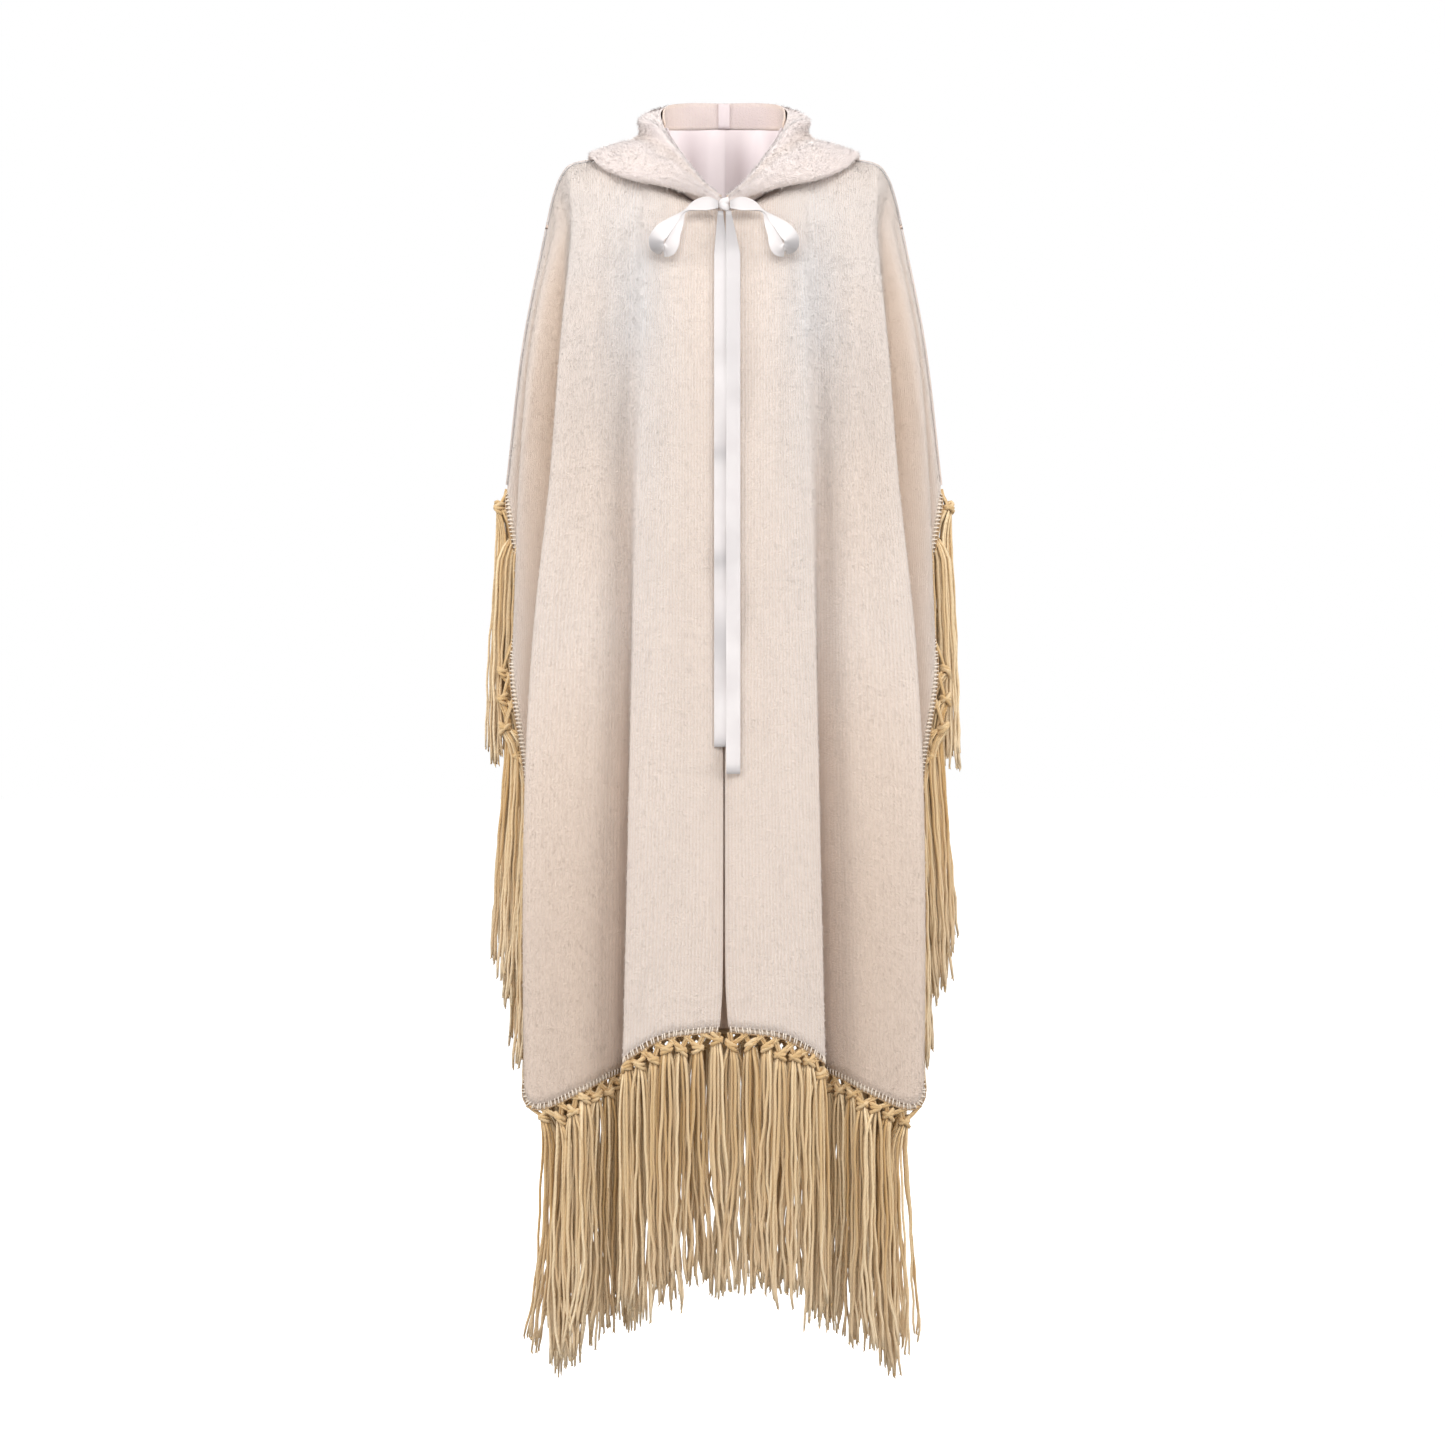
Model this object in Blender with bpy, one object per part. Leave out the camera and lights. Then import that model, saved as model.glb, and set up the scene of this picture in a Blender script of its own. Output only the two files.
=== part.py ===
"""Hooded poncho of plush knit, open down the front, with a ribbon tie and knotted fringe.

Metres, +Z up, x to the right of the front view, the front towards -y. The origin lies
between the shoulders at the base of the neck, where the wearer carries the poncho.
Each wall is lofted: a table gives the run of each fold, and the cloth is spread over them.
"""
import math

import bpy
import numpy as np

# Thicknesses and gaps
KNIT = 0.003
HOOD_KNIT = 0.0024
FACING = 0.0022
SATIN = 0.0010
SEAM_GAP = 0.0003

# The neckline, from the pit of the neck round to the back
NECK_HALF_WIDTH = 0.085
NECK_FRONT = 0.084
NECK_BACK = 0.084
NECK_SIDE_HEIGHT = -0.030
NECK_PIT_DROP = 0.078
NECK_BACK_DROP = 0.028
CENTRE_SLIT = 0.0012

# The shoulder seam, from the neck over the tip of the shoulder: across, height
SHOULDER_SEAM = ((0.0850, -0.0300), (0.1200, -0.0362), (0.1500, -0.0392), (0.1720, -0.0420),
                 (0.1835, -0.0462), (0.1904, -0.0530), (0.1972, -0.0660), (0.2040, -0.0870),
                 (0.2115, -0.1200))
# How far the cloth has come forward and down at the yoke, between the seam and the chest
YOKE_ACROSS, YOKE_OUT, YOKE_DOWN = 0.50, 0.66, 0.34

# Rows of cloth, as shares of each fold's run from the shoulder to the hem
ROWS = (0, 0.03, 0.065, 0.11, 0.165, 0.23, 0.30, 0.38, 0.47, 0.56, 0.65, 0.74, 0.83, 0.92, 1)
FOLD_SAMPLES = 24

# Each fold: name, start (0 pit of the neck, 1 neck point, 2 past the shoulder), height of its
# lower end, strips of cloth up to the next fold, then (across, out) at each fold height.
# A fold that ends above a fold height has no figure there.
FOLD_HEIGHTS = (-0.12, -0.25, -0.43, -0.60, -0.75, -0.92, -1.12)
FRONT_FOLDS = (
    ("centre edge", 0.00, -1.069, 2,
     (0.0012, 0.094), (0.0012, 0.115), (0.0012, 0.122), (0.0012, 0.125), (0.0013, 0.127),
     (0.0018, 0.129), (0.0078, 0.131)),
    ("centre panel", 0.28, -1.071, 2,
     (0.0300, 0.097), (0.0300, 0.119), (0.0300, 0.128), (0.0300, 0.131), (0.0305, 0.133),
     (0.0320, 0.135), (0.0350, 0.137)),
    ("crest A", 0.52, -1.077, 2,
     (0.0600, 0.098), (0.0620, 0.122), (0.0630, 0.132), (0.0640, 0.136), (0.0660, 0.139),
     (0.0690, 0.141), (0.0740, 0.142)),
    ("edge A", 0.82, -1.104, 3,
     (0.0900, 0.094), (0.0945, 0.116), (0.0995, 0.122), (0.1045, 0.124), (0.1085, 0.125),
     (0.1125, 0.126), (0.1175, 0.126)),
    ("valley AB", 1.04, -1.116, 3,
     (0.1060, 0.089), (0.1095, 0.106), (0.1105, 0.101), (0.1100, 0.095), (0.1100, 0.090),
     (0.1110, 0.086), (0.1140, 0.083)),
    ("rise B", 1.20, -1.126, 2,
     (0.1270, 0.085), (0.1300, 0.104), (0.1320, 0.108), (0.1330, 0.108), (0.1340, 0.106),
     (0.1360, 0.104), (0.1380, 0.103)),
    ("crest B", 1.37, -1.142, 3,
     (0.1500, 0.079), (0.1576, 0.104), (0.1620, 0.115), (0.1660, 0.119), (0.1690, 0.121),
     (0.1710, 0.122), (0.1722, 0.122)),
    ("edge B", 1.56, -1.160, 3,
     (0.1800, 0.056), (0.1923, 0.080), (0.2045, 0.090), (0.2215, 0.095), (0.2297, 0.097),
     (0.2320, 0.098), (0.2290, 0.099)),
    ("return B", 1.66, -1.020, 3,
     (0.1835, 0.045), (0.1905, 0.063), (0.2010, 0.067), (0.2165, 0.069), (0.2245, 0.070),
     (0.2290, 0.074), (0.2290, 0.082)),
    ("valley BC", 1.75, -0.800, 3,
     (0.1880, 0.035), (0.1960, 0.046), (0.2060, 0.045), (0.2180, 0.048), (0.2260, 0.056)),
    ("crest C", 1.84, -0.640, 3,
     (0.2010, 0.023), (0.2260, 0.033), (0.2430, 0.039), (0.2495, 0.043)),
    ("valley CD", 1.90, -0.505, 2,
     (0.2055, 0.014), (0.2300, 0.020), (0.2425, 0.023)),
    ("lip D", 1.95, -0.438, 2,
     (0.2090, 0.008), (0.2350, 0.011), (0.2575, 0.014)),
    ("arm seam", 2.00, -0.428, 0,
     (0.2115, 0.0), (0.2375, 0.0), (0.2592, 0.0)),
)
BACK_FOLDS = (
    ("centre back", 0.00, -1.088, 2,
     (0.0000, 0.092), (0.0000, 0.102), (0.0000, 0.099), (0.0000, 0.099), (0.0000, 0.101),
     (0.0000, 0.104), (0.0000, 0.108)),
    ("crest K", 0.45, -1.092, 2,
     (0.0440, 0.094), (0.0480, 0.108), (0.0500, 0.112), (0.0530, 0.117), (0.0560, 0.122),
     (0.0600, 0.127), (0.0640, 0.132)),
    ("edge K", 0.80, -1.100, 2,
     (0.0760, 0.090), (0.0800, 0.104), (0.0830, 0.106), (0.0870, 0.109), (0.0910, 0.112),
     (0.0950, 0.115), (0.0990, 0.118)),
    ("valley KL", 1.05, -1.110, 2,
     (0.0960, 0.086), (0.1000, 0.098), (0.1020, 0.095), (0.1040, 0.093), (0.1060, 0.092),
     (0.1090, 0.093), (0.1130, 0.096)),
    ("crest L", 1.33, -1.132, 3,
     (0.1420, 0.077), (0.1500, 0.095), (0.1560, 0.104), (0.1600, 0.110), (0.1630, 0.115),
     (0.1660, 0.119), (0.1680, 0.123)),
    ("edge L", 1.56, -1.155, 3,
     (0.1800, 0.052), (0.1915, 0.071), (0.2030, 0.081), (0.2180, 0.087), (0.2255, 0.091),
     (0.2280, 0.095), (0.2270, 0.098)),
    ("return L", 1.66, -1.000, 3,
     (0.1835, 0.042), (0.1900, 0.056), (0.2000, 0.060), (0.2140, 0.063), (0.2210, 0.066),
     (0.2250, 0.072), (0.2250, 0.080)),
    ("valley LM", 1.75, -0.790, 2,
     (0.1880, 0.032), (0.1960, 0.041), (0.2060, 0.041), (0.2160, 0.044), (0.2230, 0.052)),
    ("crest M", 1.84, -0.630, 2,
     (0.2010, 0.022), (0.2260, 0.030), (0.2430, 0.036), (0.2480, 0.041)),
    ("valley MN", 1.90, -0.500, 2,
     (0.2055, 0.013), (0.2300, 0.019), (0.2430, 0.022)),
    ("lip N", 1.95, -0.437, 2,
     (0.2090, 0.008), (0.2350, 0.011), (0.2575, 0.014)),
    ("arm seam", 2.00, -0.428, 0,
     (0.2115, 0.0), (0.2375, 0.0), (0.2592, 0.0)),
)

# The hood, from the pit of the neck round to the centre back. Each row: angle round the
# neck in degrees, then its face edge, upper roll, groove, lower roll, tip and underside.
HOOD_STATIONS = (
    (2, (0.0025, -0.0850, -0.0945), (0.0027, -0.0885, -0.0925), (0.0030, -0.0920, -0.0935),
     (0.0034, -0.0955, -0.0965), (0.0040, -0.0970, -0.1015), (0.0040, -0.0950, -0.1050)),
    (22, (0.0200, -0.0800, -0.0790), (0.0235, -0.0875, -0.0755), (0.0265, -0.0925, -0.0765),
     (0.0310, -0.0985, -0.0800), (0.0350, -0.1000, -0.0870), (0.0340, -0.0965, -0.0930)),
    (38, (0.0403, -0.0660, -0.0531), (0.0465, -0.0740, -0.0470), (0.0510, -0.0800, -0.0485),
     (0.0640, -0.0920, -0.0580), (0.0750, -0.0965, -0.0740), (0.0720, -0.0920, -0.0820)),
    (52, (0.0523, -0.0500, -0.0356), (0.0610, -0.0590, -0.0280), (0.0660, -0.0650, -0.0360),
     (0.0880, -0.0790, -0.0470), (0.1100, -0.0860, -0.0650), (0.1060, -0.0820, -0.0740)),
    (68, (0.0669, -0.0200, -0.0112), (0.0830, -0.0300, -0.0010), (0.0860, -0.0350, -0.0190),
     (0.1120, -0.0480, -0.0270), (0.1427, -0.0530, -0.0490), (0.1380, -0.0500, -0.0570)),
    (92, (0.0761, 0.0250, 0.0164), (0.1015, 0.0180, 0.0130), (0.1020, 0.0120, -0.0080),
     (0.1285, 0.0040, -0.0190), (0.1605, -0.0040, -0.0325), (0.1550, -0.0020, -0.0378)),
    (112, (0.0741, 0.0600, 0.0328), (0.0880, 0.0690, 0.0275), (0.0985, 0.0740, -0.0020),
     (0.1240, 0.0790, -0.0340), (0.1450, 0.0800, -0.0800), (0.1400, 0.0760, -0.0900)),
    (145, (0.0500, 0.0900, 0.0425), (0.0610, 0.1080, 0.0300), (0.0670, 0.1200, -0.0050),
     (0.0880, 0.1390, -0.0850), (0.0990, 0.1345, -0.1740), (0.0930, 0.1190, -0.1830)),
    (180, (0.0000, 0.1000, 0.0436), (0.0000, 0.1190, 0.0300), (0.0000, 0.1340, -0.0100),
     (0.0000, 0.1600, -0.1000), (0.0000, 0.1520, -0.2160), (0.0000, 0.1340, -0.2230)),
)
HOOD_ROWS = (0, 0.5, 1, 1.5, 2, 2.5, 3, 3.5, 4, 4.5, 5, 5.5, 6, 6.5, 7)
HOOD_STRIPS = 2
HOOD_CLEARANCE = 0.0038
HOOD_LIFT = 0.0110
HOOD_STAND_OFF = 0.0030

# Facing and lining, inside the hood: angle round the neck and height of the facing's edge
FACING_LOW_EDGE = ((82, 0.0005), (112, 0.0045), (145, 0.0092), (180, 0.0118))
FACING_START = 82
FACING_COLUMNS = 10
FACING_ROWS = 3
FACING_INSETS = (0.0056, 0.0058)
LINING_START = 12
LINING_COLUMNS = 16
LINING_ROWS = 5
LINING_INSETS = (0.0052, 0.0084)
LINING_DROP = 0.022
LINING_STEP = 0.008
TAB_START = 175
TAB_TOP = 0.01
TAB_INSETS = (0.0069, 0.0071)

# Ribbon
RIBBON_WIDTH = 0.0168
RIBBON_THICKNESS = 0.0008
KNOT_SIZE = (0.0150, 0.0080, 0.0150)
KNOT_PLACE = (0.0, -0.1040, -0.1045)
KNOT_ROUNDING = 0.0028
TAIL_ENDS = {"left": -0.7419, "right": -0.7733}
TAIL_CENTRES = {"left": -0.0033, "right": 0.0107}
TAIL_PROUD = {"left": 0.0012, "right": 0.0024}
TAIL_RINGS = 22
LOOP_RINGS = 30
# The right loop: across, out, height, the lean of the ribbon's width in degrees, and the
# share of the ribbon's full width, which is gathered at the knot
LOOP_PATH = (
    (0.0083, 0.1075, -0.1030, 90, 0.60), (0.0220, 0.1090, -0.1030, 92, 0.68),
    (0.0400, 0.1130, -0.1075, 70, 0.80), (0.0560, 0.1190, -0.1215, 50, 0.92),
    (0.0720, 0.1240, -0.1405, 42, 1.00), (0.0810, 0.1255, -0.1555, 22, 1.00),
    (0.0800, 0.1235, -0.1635, 12, 1.00), (0.0720, 0.1190, -0.1625, 14, 1.00),
    (0.0640, 0.1160, -0.1505, 26, 1.00), (0.0520, 0.1130, -0.1305, 38, 0.95),
    (0.0360, 0.1085, -0.1130, 64, 0.80), (0.0200, 0.1050, -0.1045, 88, 0.68),
    (0.0083, 0.1040, -0.1030, 90, 0.60),
)

# Fringe. By the height of its knot, a strand at the side hangs so far outward of the knot, no
# further across than the reach, and leans so far outward at its end.
SIDE_HEIGHTS = (-1.16, -0.90, -0.87, -0.80, -0.76, -0.70, -0.64, -0.58, -0.52, -0.49, -0.43)
SIDE_FLARE = (-0.020, -0.020, -0.008, -0.008, -0.004, 0.012, 0.012, -0.002, 0.000, 0.006, 0.008)
SIDE_REACH = (0.208, 0.208, 0.237, 0.237, 0.244, 0.262, 0.262, 0.254, 0.252, 0.262, 0.268)
SIDE_SLANT = (0.006, 0.006, 0.003, 0.003, 0.006, 0.009, 0.009, 0.008, 0.008, 0.009, 0.010)
STRIP_GAP = 0.0008
STRIP_END = 0.0014
STRIP_HEIGHT = 0.006
STRIP_THICKNESS = 0.0032
# Past this width the hem's strands are drawn in, and flare out again at their ends
HEM_STRAIGHT = 0.150
HEM_PULL = 0.15
HEM_FLARE = 0.18
HEM_SPACING = 0.026
SIDE_SPACING = 0.034
KNOT_DROP = 0.024
KNOT_ONWARD = 0.55
KNOT_WIDTH = 0.014
KNOT_DEPTH = 0.0112
SEAM_CLEARANCE = 0.6
ROOT_WIDTH = 0.008
STRAND_WIDTH = 0.0085
END_WIDTH = 0.0150
SIDE_END_WIDTH = 0.0085
FRINGE_LENGTH = 0.305
LENGTH_SPREAD = 0.012
STRAND_PITCH = 0.0115
SIDE_NEAREST = 0.186
NECK_DROP = 0.028
WAVE_STEP = 2.4
HANGING_ROUNDS = 400

# Colours and roughness of the finishes
FINISHES = {
    "plush_knit": ((0.87, 0.74, 0.64), 0.95),
    "satin_lining": ((0.86, 0.74, 0.73), 0.45),
    "satin_ribbon": ((0.90, 0.86, 0.86), 0.35),
    "fringe_yarn": ((0.62, 0.47, 0.29), 0.90),
}


def spline(knots, points, places):
    """Read a smooth curve through points, given at knots, at each of the places."""
    knots = np.asarray(knots, float)
    points = np.asarray(points, float)
    places = np.asarray(places, float)
    steps = np.diff(knots)
    slopes = np.diff(points, axis=0) / steps[:, None]
    tangents = np.empty_like(points)
    tangents[0], tangents[-1] = slopes[0], slopes[-1]
    weight = (steps[1:] / (steps[1:] + steps[:-1]))[:, None]
    tangents[1:-1] = slopes[:-1] * weight + slopes[1:] * (1 - weight)
    index = np.clip(np.searchsorted(knots, places, side="right") - 1, 0, len(steps) - 1)
    width = steps[index]
    share = np.clip((places - knots[index]) / width, 0, 1)[:, None]
    past = (places - knots[-1]).clip(min=0)[:, None]
    width = width[:, None]
    start, end = points[index], points[index + 1]
    curve = ((1 + 2 * share) * (1 - share) ** 2 * start + share ** 2 * (3 - 2 * share) * end
             + share * (1 - share) ** 2 * width * tangents[index]
             - share ** 2 * (1 - share) * width * tangents[index + 1])
    return curve + past * tangents[-1]


def lengths_along(points, power=1.0):
    """Distance along a chain of points, each step raised to a power."""
    steps = np.linalg.norm(np.diff(points, axis=0), axis=1) ** power
    return np.concatenate(([0.0], np.cumsum(steps + 1e-9)))


def read_evenly(points, shares):
    """Points at the given shares of a chain's length."""
    run = lengths_along(points)
    return spline(run, points, np.asarray(shares) * run[-1])


def neckline(degrees):
    """A point of the neck seam: 0 at the pit of the neck, 90 at the side, 180 at the back."""
    angle = math.radians(degrees)
    ahead = math.cos(angle)
    depth = NECK_FRONT if ahead > 0 else NECK_BACK
    drop = NECK_PIT_DROP if ahead > 0 else NECK_BACK_DROP
    across = max(NECK_HALF_WIDTH * math.sin(angle), CENTRE_SLIT if ahead > 0 else 0.0)
    return np.array([across, -depth * ahead, NECK_SIDE_HEIGHT - drop * abs(ahead) ** 1.4])


def top_edge(start, side):
    """Where a fold starts: on the neckline up to 1, and on the shoulder seam up to 2."""
    if start <= 1:
        degrees = 90 * start if side < 0 else 180 - 90 * start
        return neckline(degrees)
    across, height = read_evenly(np.array(SHOULDER_SEAM), [start - 1])[0]
    return np.array([across, 0.0, height])


def fold_line(fold, side):
    """The run of one fold from the top edge to the hem; side is -1 in front, 1 behind."""
    _, start, low, _, *figures = fold
    heights = -np.array(FOLD_HEIGHTS[:len(figures)])
    down = np.linspace(heights[0], -low, FOLD_SAMPLES)
    across_out = spline(heights, figures, down)
    chest = np.column_stack([across_out[:, 0], side * across_out[:, 1], -down])
    if start == 2:
        return read_evenly(chest, ROWS)
    top = top_edge(start, side)
    share = np.array([YOKE_ACROSS, YOKE_OUT, YOKE_DOWN])
    yoke = top + (chest[0] - top) * share
    return read_evenly(np.vstack([top, yoke, chest]), ROWS)


def spread_cloth(lines, strips):
    """Lay cloth over fold lines: rows of points, with some strips from fold to fold."""
    lines = np.array(lines)
    rows = []
    for row in range(lines.shape[1]):
        points = lines[:, row]
        knots = lengths_along(points, 0.5)
        places = [knots[0]]
        for left, right, count in zip(knots[:-1], knots[1:], strips):
            places.extend(np.linspace(left, right, count + 1)[1:])
        rows.append(spline(knots, points, places))
    return np.array(rows)


def front_panel():
    """The outer face of the right front, rows from the top down, centre edge first."""
    lines = [fold_line(fold, -1) for fold in FRONT_FOLDS]
    grid = spread_cloth(lines, [fold[3] for fold in FRONT_FOLDS[:-1]])
    grid[:, -1, 1] = -SEAM_GAP / 2
    on_shoulder = grid[0, :, 1] > -SEAM_GAP
    grid[0, on_shoulder, 1] = -SEAM_GAP / 2
    grid[:, 0, 0] = np.maximum(grid[:, 0, 0], CENTRE_SLIT)
    return grid


def back_panel():
    """The outer face of the whole back, from the right arm seam to the left one."""
    lines = [fold_line(fold, 1) for fold in BACK_FOLDS]
    strips = [fold[3] for fold in BACK_FOLDS[:-1]]
    whole = lines[:0:-1] + [mirrored(line) for line in lines]
    grid = spread_cloth(whole, strips[::-1] + strips)
    grid[:, [0, -1], 1] = SEAM_GAP / 2
    on_shoulder = grid[0, :, 1] < SEAM_GAP
    grid[0, on_shoulder, 1] = SEAM_GAP / 2
    return grid


def mirrored(points):
    """The same points on the other side of the body."""
    return np.asarray(points) * np.array([-1.0, 1.0, 1.0])


def normals(grid):
    """Unit normals of a grid of points, from its rows and columns."""
    down = np.gradient(grid, axis=0)
    over = np.gradient(grid, axis=1)
    across = np.cross(down, over)
    size = np.linalg.norm(across, axis=2, keepdims=True)
    return across / np.maximum(size, 1e-12)


def build(name, corners, faces, finish):
    """Make one closed object, with its faces pointing out."""
    corners = np.asarray(corners, float)
    volume = 0.0
    for face in faces:
        for second, third in zip(face[1:-1], face[2:]):
            volume += np.dot(corners[face[0]], np.cross(corners[second], corners[third]))
    if volume < 0:
        faces = [face[::-1] for face in faces]
    mesh = bpy.data.meshes.new(name)
    mesh.from_pydata([tuple(corner) for corner in corners], [], faces)
    mesh.shade_smooth()
    mesh.set_sharp_from_angle(angle=math.radians(50))
    mesh.materials.append(finishes[finish])
    piece = bpy.data.objects.new(name, mesh)
    bpy.context.collection.objects.link(piece)
    return piece


def wall(name, grid, thickness, finish, inset):
    """A wall of cloth: the outer face and a face set in from it, closed round the edge."""
    rows, columns = grid.shape[:2]
    corners = np.concatenate([grid, grid + inset * thickness]).reshape(-1, 3)
    size = rows * columns

    def corner(row, column, layer):
        return layer * size + row * columns + column

    faces = []
    for row in range(rows - 1):
        for column in range(columns - 1):
            quad = [(row, column), (row, column + 1), (row + 1, column + 1), (row + 1, column)]
            faces.append([corner(r, c, 0) for r, c in quad])
            faces.append([corner(r, c, 1) for r, c in reversed(quad)])
    rim = [(0, c) for c in range(columns)] + [(r, columns - 1) for r in range(1, rows)]
    rim += [(rows - 1, c) for c in range(columns - 2, -1, -1)]
    rim += [(r, 0) for r in range(rows - 2, 0, -1)]
    for here, there in zip(rim, rim[1:] + rim[:1]):
        faces.append([corner(*there, 0), corner(*here, 0), corner(*here, 1), corner(*there, 1)])
    return build(name, corners, faces, finish)


def panel_inset(grid):
    """The way into a panel's thickness, square to its seams and to the front opening."""
    inset = -normals(grid)
    middle = np.array([0.0, 0.0, grid[:, :, 2].mean()])
    inset *= np.sign(np.sum(inset * (middle - grid), axis=2).sum())
    rows, columns = grid.shape[:2]
    if abs(grid[0, 0, 0]) < 10 * CENTRE_SLIT:
        inset[:, 0, 0] = 0.0
    for corner in (0, columns - 1):
        if abs(grid[-1, corner, 1]) > SEAM_GAP:
            continue
        inner = range(corner, columns) if corner == 0 else range(corner, -1, -1)
        top = [(0, column) for column in inner if abs(grid[0, column, 1]) < SEAM_GAP]
        chain = top[::-1] + [(row, corner) for row in range(1, rows)]
        points = np.array([grid[place] for place in chain])
        along = np.gradient(points, axis=0)
        square = np.column_stack([along[:, 2], np.zeros(len(chain)), -along[:, 0]])
        square *= np.sign(points[0, 0])
        for place, way in zip(chain, square):
            inset[place] = way
    return inset / np.linalg.norm(inset, axis=2, keepdims=True)


def hood_shell():
    """The outer face of the hood, rows from its face edge to the neck seam."""
    meridians = []
    for degrees, *points in HOOD_STATIONS:
        seam = neckline(degrees)
        seam = seam + HOOD_CLEARANCE * np.array([math.sin(math.radians(degrees)) * 0.5,
                                                 -math.cos(math.radians(degrees)) * 0.8, 0.6])
        middle = (np.array(points[-1]) + seam) / 2
        middle[1] += HOOD_STAND_OFF * max(0.0, -math.cos(math.radians(degrees)))
        middle[2] += HOOD_LIFT
        meridians.append(np.vstack([points, middle, seam]))
    meridians = meridians[:-1] + [mirrored(line) for line in meridians[::-1]]
    knots = np.arange(len(meridians[0]))
    lines = np.array([spline(knots, line, HOOD_ROWS) for line in meridians])
    turns = np.arange(len(lines))
    places = np.linspace(0, len(lines) - 1, (len(lines) - 1) * HOOD_STRIPS + 1)
    return np.stack([spline(turns, lines[:, row], places) for row in range(lines.shape[1])])


def face_edge(degrees):
    """The hood's face edge at angles round the neck, on the right."""
    angles = [row[0] for row in HOOD_STATIONS]
    edges = [row[1] for row in HOOD_STATIONS]
    return spline(angles, edges, degrees)


def inside_neck(degrees, top, low, low_drop, insets, rows):
    """Points inside the hood at angles round the neck, mirrored past the centre back.

    They run from a top height to a low one, each a share of the way from the face edge to
    the neck seam, one for all angles or one for each.
    """
    edge = face_edge(degrees)
    seam = np.array([neckline(angle) for angle in degrees])
    out = np.column_stack([np.sin(np.radians(degrees)), -np.cos(np.radians(degrees)),
                           np.zeros(len(degrees))])
    top = np.broadcast_to(top, len(degrees))
    low = np.broadcast_to(low, len(degrees))
    grid = []
    for share in np.linspace(0, 1, rows):
        place = (top * (1 - share) + low * share)[:, None]
        level = edge + (seam - edge) * place - out * np.interp(share, (0, 1), insets)
        level[:, 2] -= low_drop * share ** 3 * (degrees / 180)
        grid.append(level)
    grid = np.array(grid)
    grid[:, -1, 0] = 0.0
    return np.concatenate([grid[:, :-1], mirrored(grid[:, ::-1])], axis=1)


def facing_edge(degrees):
    """The lower edge of the facing, as a share of the way to the neck seam."""
    edge = face_edge(degrees)[:, 2]
    seam = np.array([neckline(angle)[2] for angle in degrees])
    low = np.interp(degrees, *zip(*FACING_LOW_EDGE))
    return np.clip((edge - low) / (edge - seam), 0.02, 1)


def band(name, path, widths, thickness, finish):
    """A flat ribbon along a path; widths holds the half-width vector at each point."""
    path, widths = np.asarray(path), np.asarray(widths)
    along = np.gradient(path, axis=0)
    proud = np.cross(along, widths)
    proud *= thickness / 2 / np.linalg.norm(proud, axis=1, keepdims=True)
    rings = np.stack([path - widths - proud, path + widths - proud,
                      path + widths + proud, path - widths + proud], axis=1)
    count = len(path)
    faces = [[0, 1, 2, 3], [4 * count - 1, 4 * count - 2, 4 * count - 3, 4 * count - 4]]
    for ring in range(count - 1):
        for side in range(4):
            here, there = 4 * ring + side, 4 * ring + (side + 1) % 4
            faces.append([there, here, here + 4, there + 4])
    return build(name, rings.reshape(-1, 3), faces, finish)


def loop_of_ribbon(name, side):
    """One loop of the bow; side is 1 on the right and -1 on the left."""
    rows = np.array(LOOP_PATH)
    path = np.column_stack([rows[:, 0], -rows[:, 1], rows[:, 2]])
    run = lengths_along(path)
    places = np.linspace(0, run[-1], LOOP_RINGS)
    path = spline(run, path, places)
    lean, share = spline(run, rows[:, 3:], places).T
    lean = np.radians(lean)
    widths = np.column_stack([np.cos(lean), np.zeros(len(lean)), np.sin(lean)])
    along = np.gradient(path, axis=0)
    along /= np.linalg.norm(along, axis=1, keepdims=True)
    widths -= along * np.sum(along * widths, axis=1, keepdims=True)
    widths *= (RIBBON_WIDTH / 2 * share / np.linalg.norm(widths, axis=1))[:, None]
    if side < 0:
        path, widths = mirrored(path), mirrored(widths)
    return band(name, path, widths, RIBBON_THICKNESS, "satin_ribbon")


def tail_of_ribbon(name, side, panel):
    """One hanging end of the ribbon, just proud of the panel beside the opening."""
    top = KNOT_PLACE[2] - KNOT_SIZE[2] / 2 - SEAM_GAP
    heights = np.linspace(top, TAIL_ENDS[side], TAIL_RINGS)
    far_edge = abs(TAIL_CENTRES[side]) + RIBBON_WIDTH / 2
    cloth = []
    for height in heights:
        level = [[np.interp(-height, -column[:, 2], column[:, axis]) for axis in (0, 1)]
                 for column in np.moveaxis(panel[:, :4], 1, 0)]
        cloth.append(np.interp(far_edge, *zip(*level)))
    out = np.minimum(cloth, KNOT_PLACE[1] + TAIL_PROUD["left"]) - TAIL_PROUD[side]
    path = np.column_stack([np.full(TAIL_RINGS, TAIL_CENTRES[side]), out, heights])
    widths = np.zeros_like(path)
    widths[:, 0] = RIBBON_WIDTH / 2
    return band(name, path, widths, RIBBON_THICKNESS, "satin_ribbon")


def knot_of_ribbon(name):
    """The bow's knot, a small soft block."""
    half = [size / 2 for size in KNOT_SIZE]
    signs = [(x, y, z) for x in (-1, 1) for y in (-1, 1) for z in (-1, 1)]
    corners = [[place + sign * edge for place, sign, edge in zip(KNOT_PLACE, triple, half)]
               for triple in signs]
    faces = [[0, 1, 3, 2], [4, 6, 7, 5], [0, 4, 5, 1], [2, 3, 7, 6], [0, 2, 6, 4], [1, 5, 7, 3]]
    piece = build(name, corners, faces, "satin_ribbon")
    bevel = piece.modifiers.new("soft edges", "BEVEL")
    bevel.width = KNOT_ROUNDING
    bevel.segments = 2
    return piece


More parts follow.
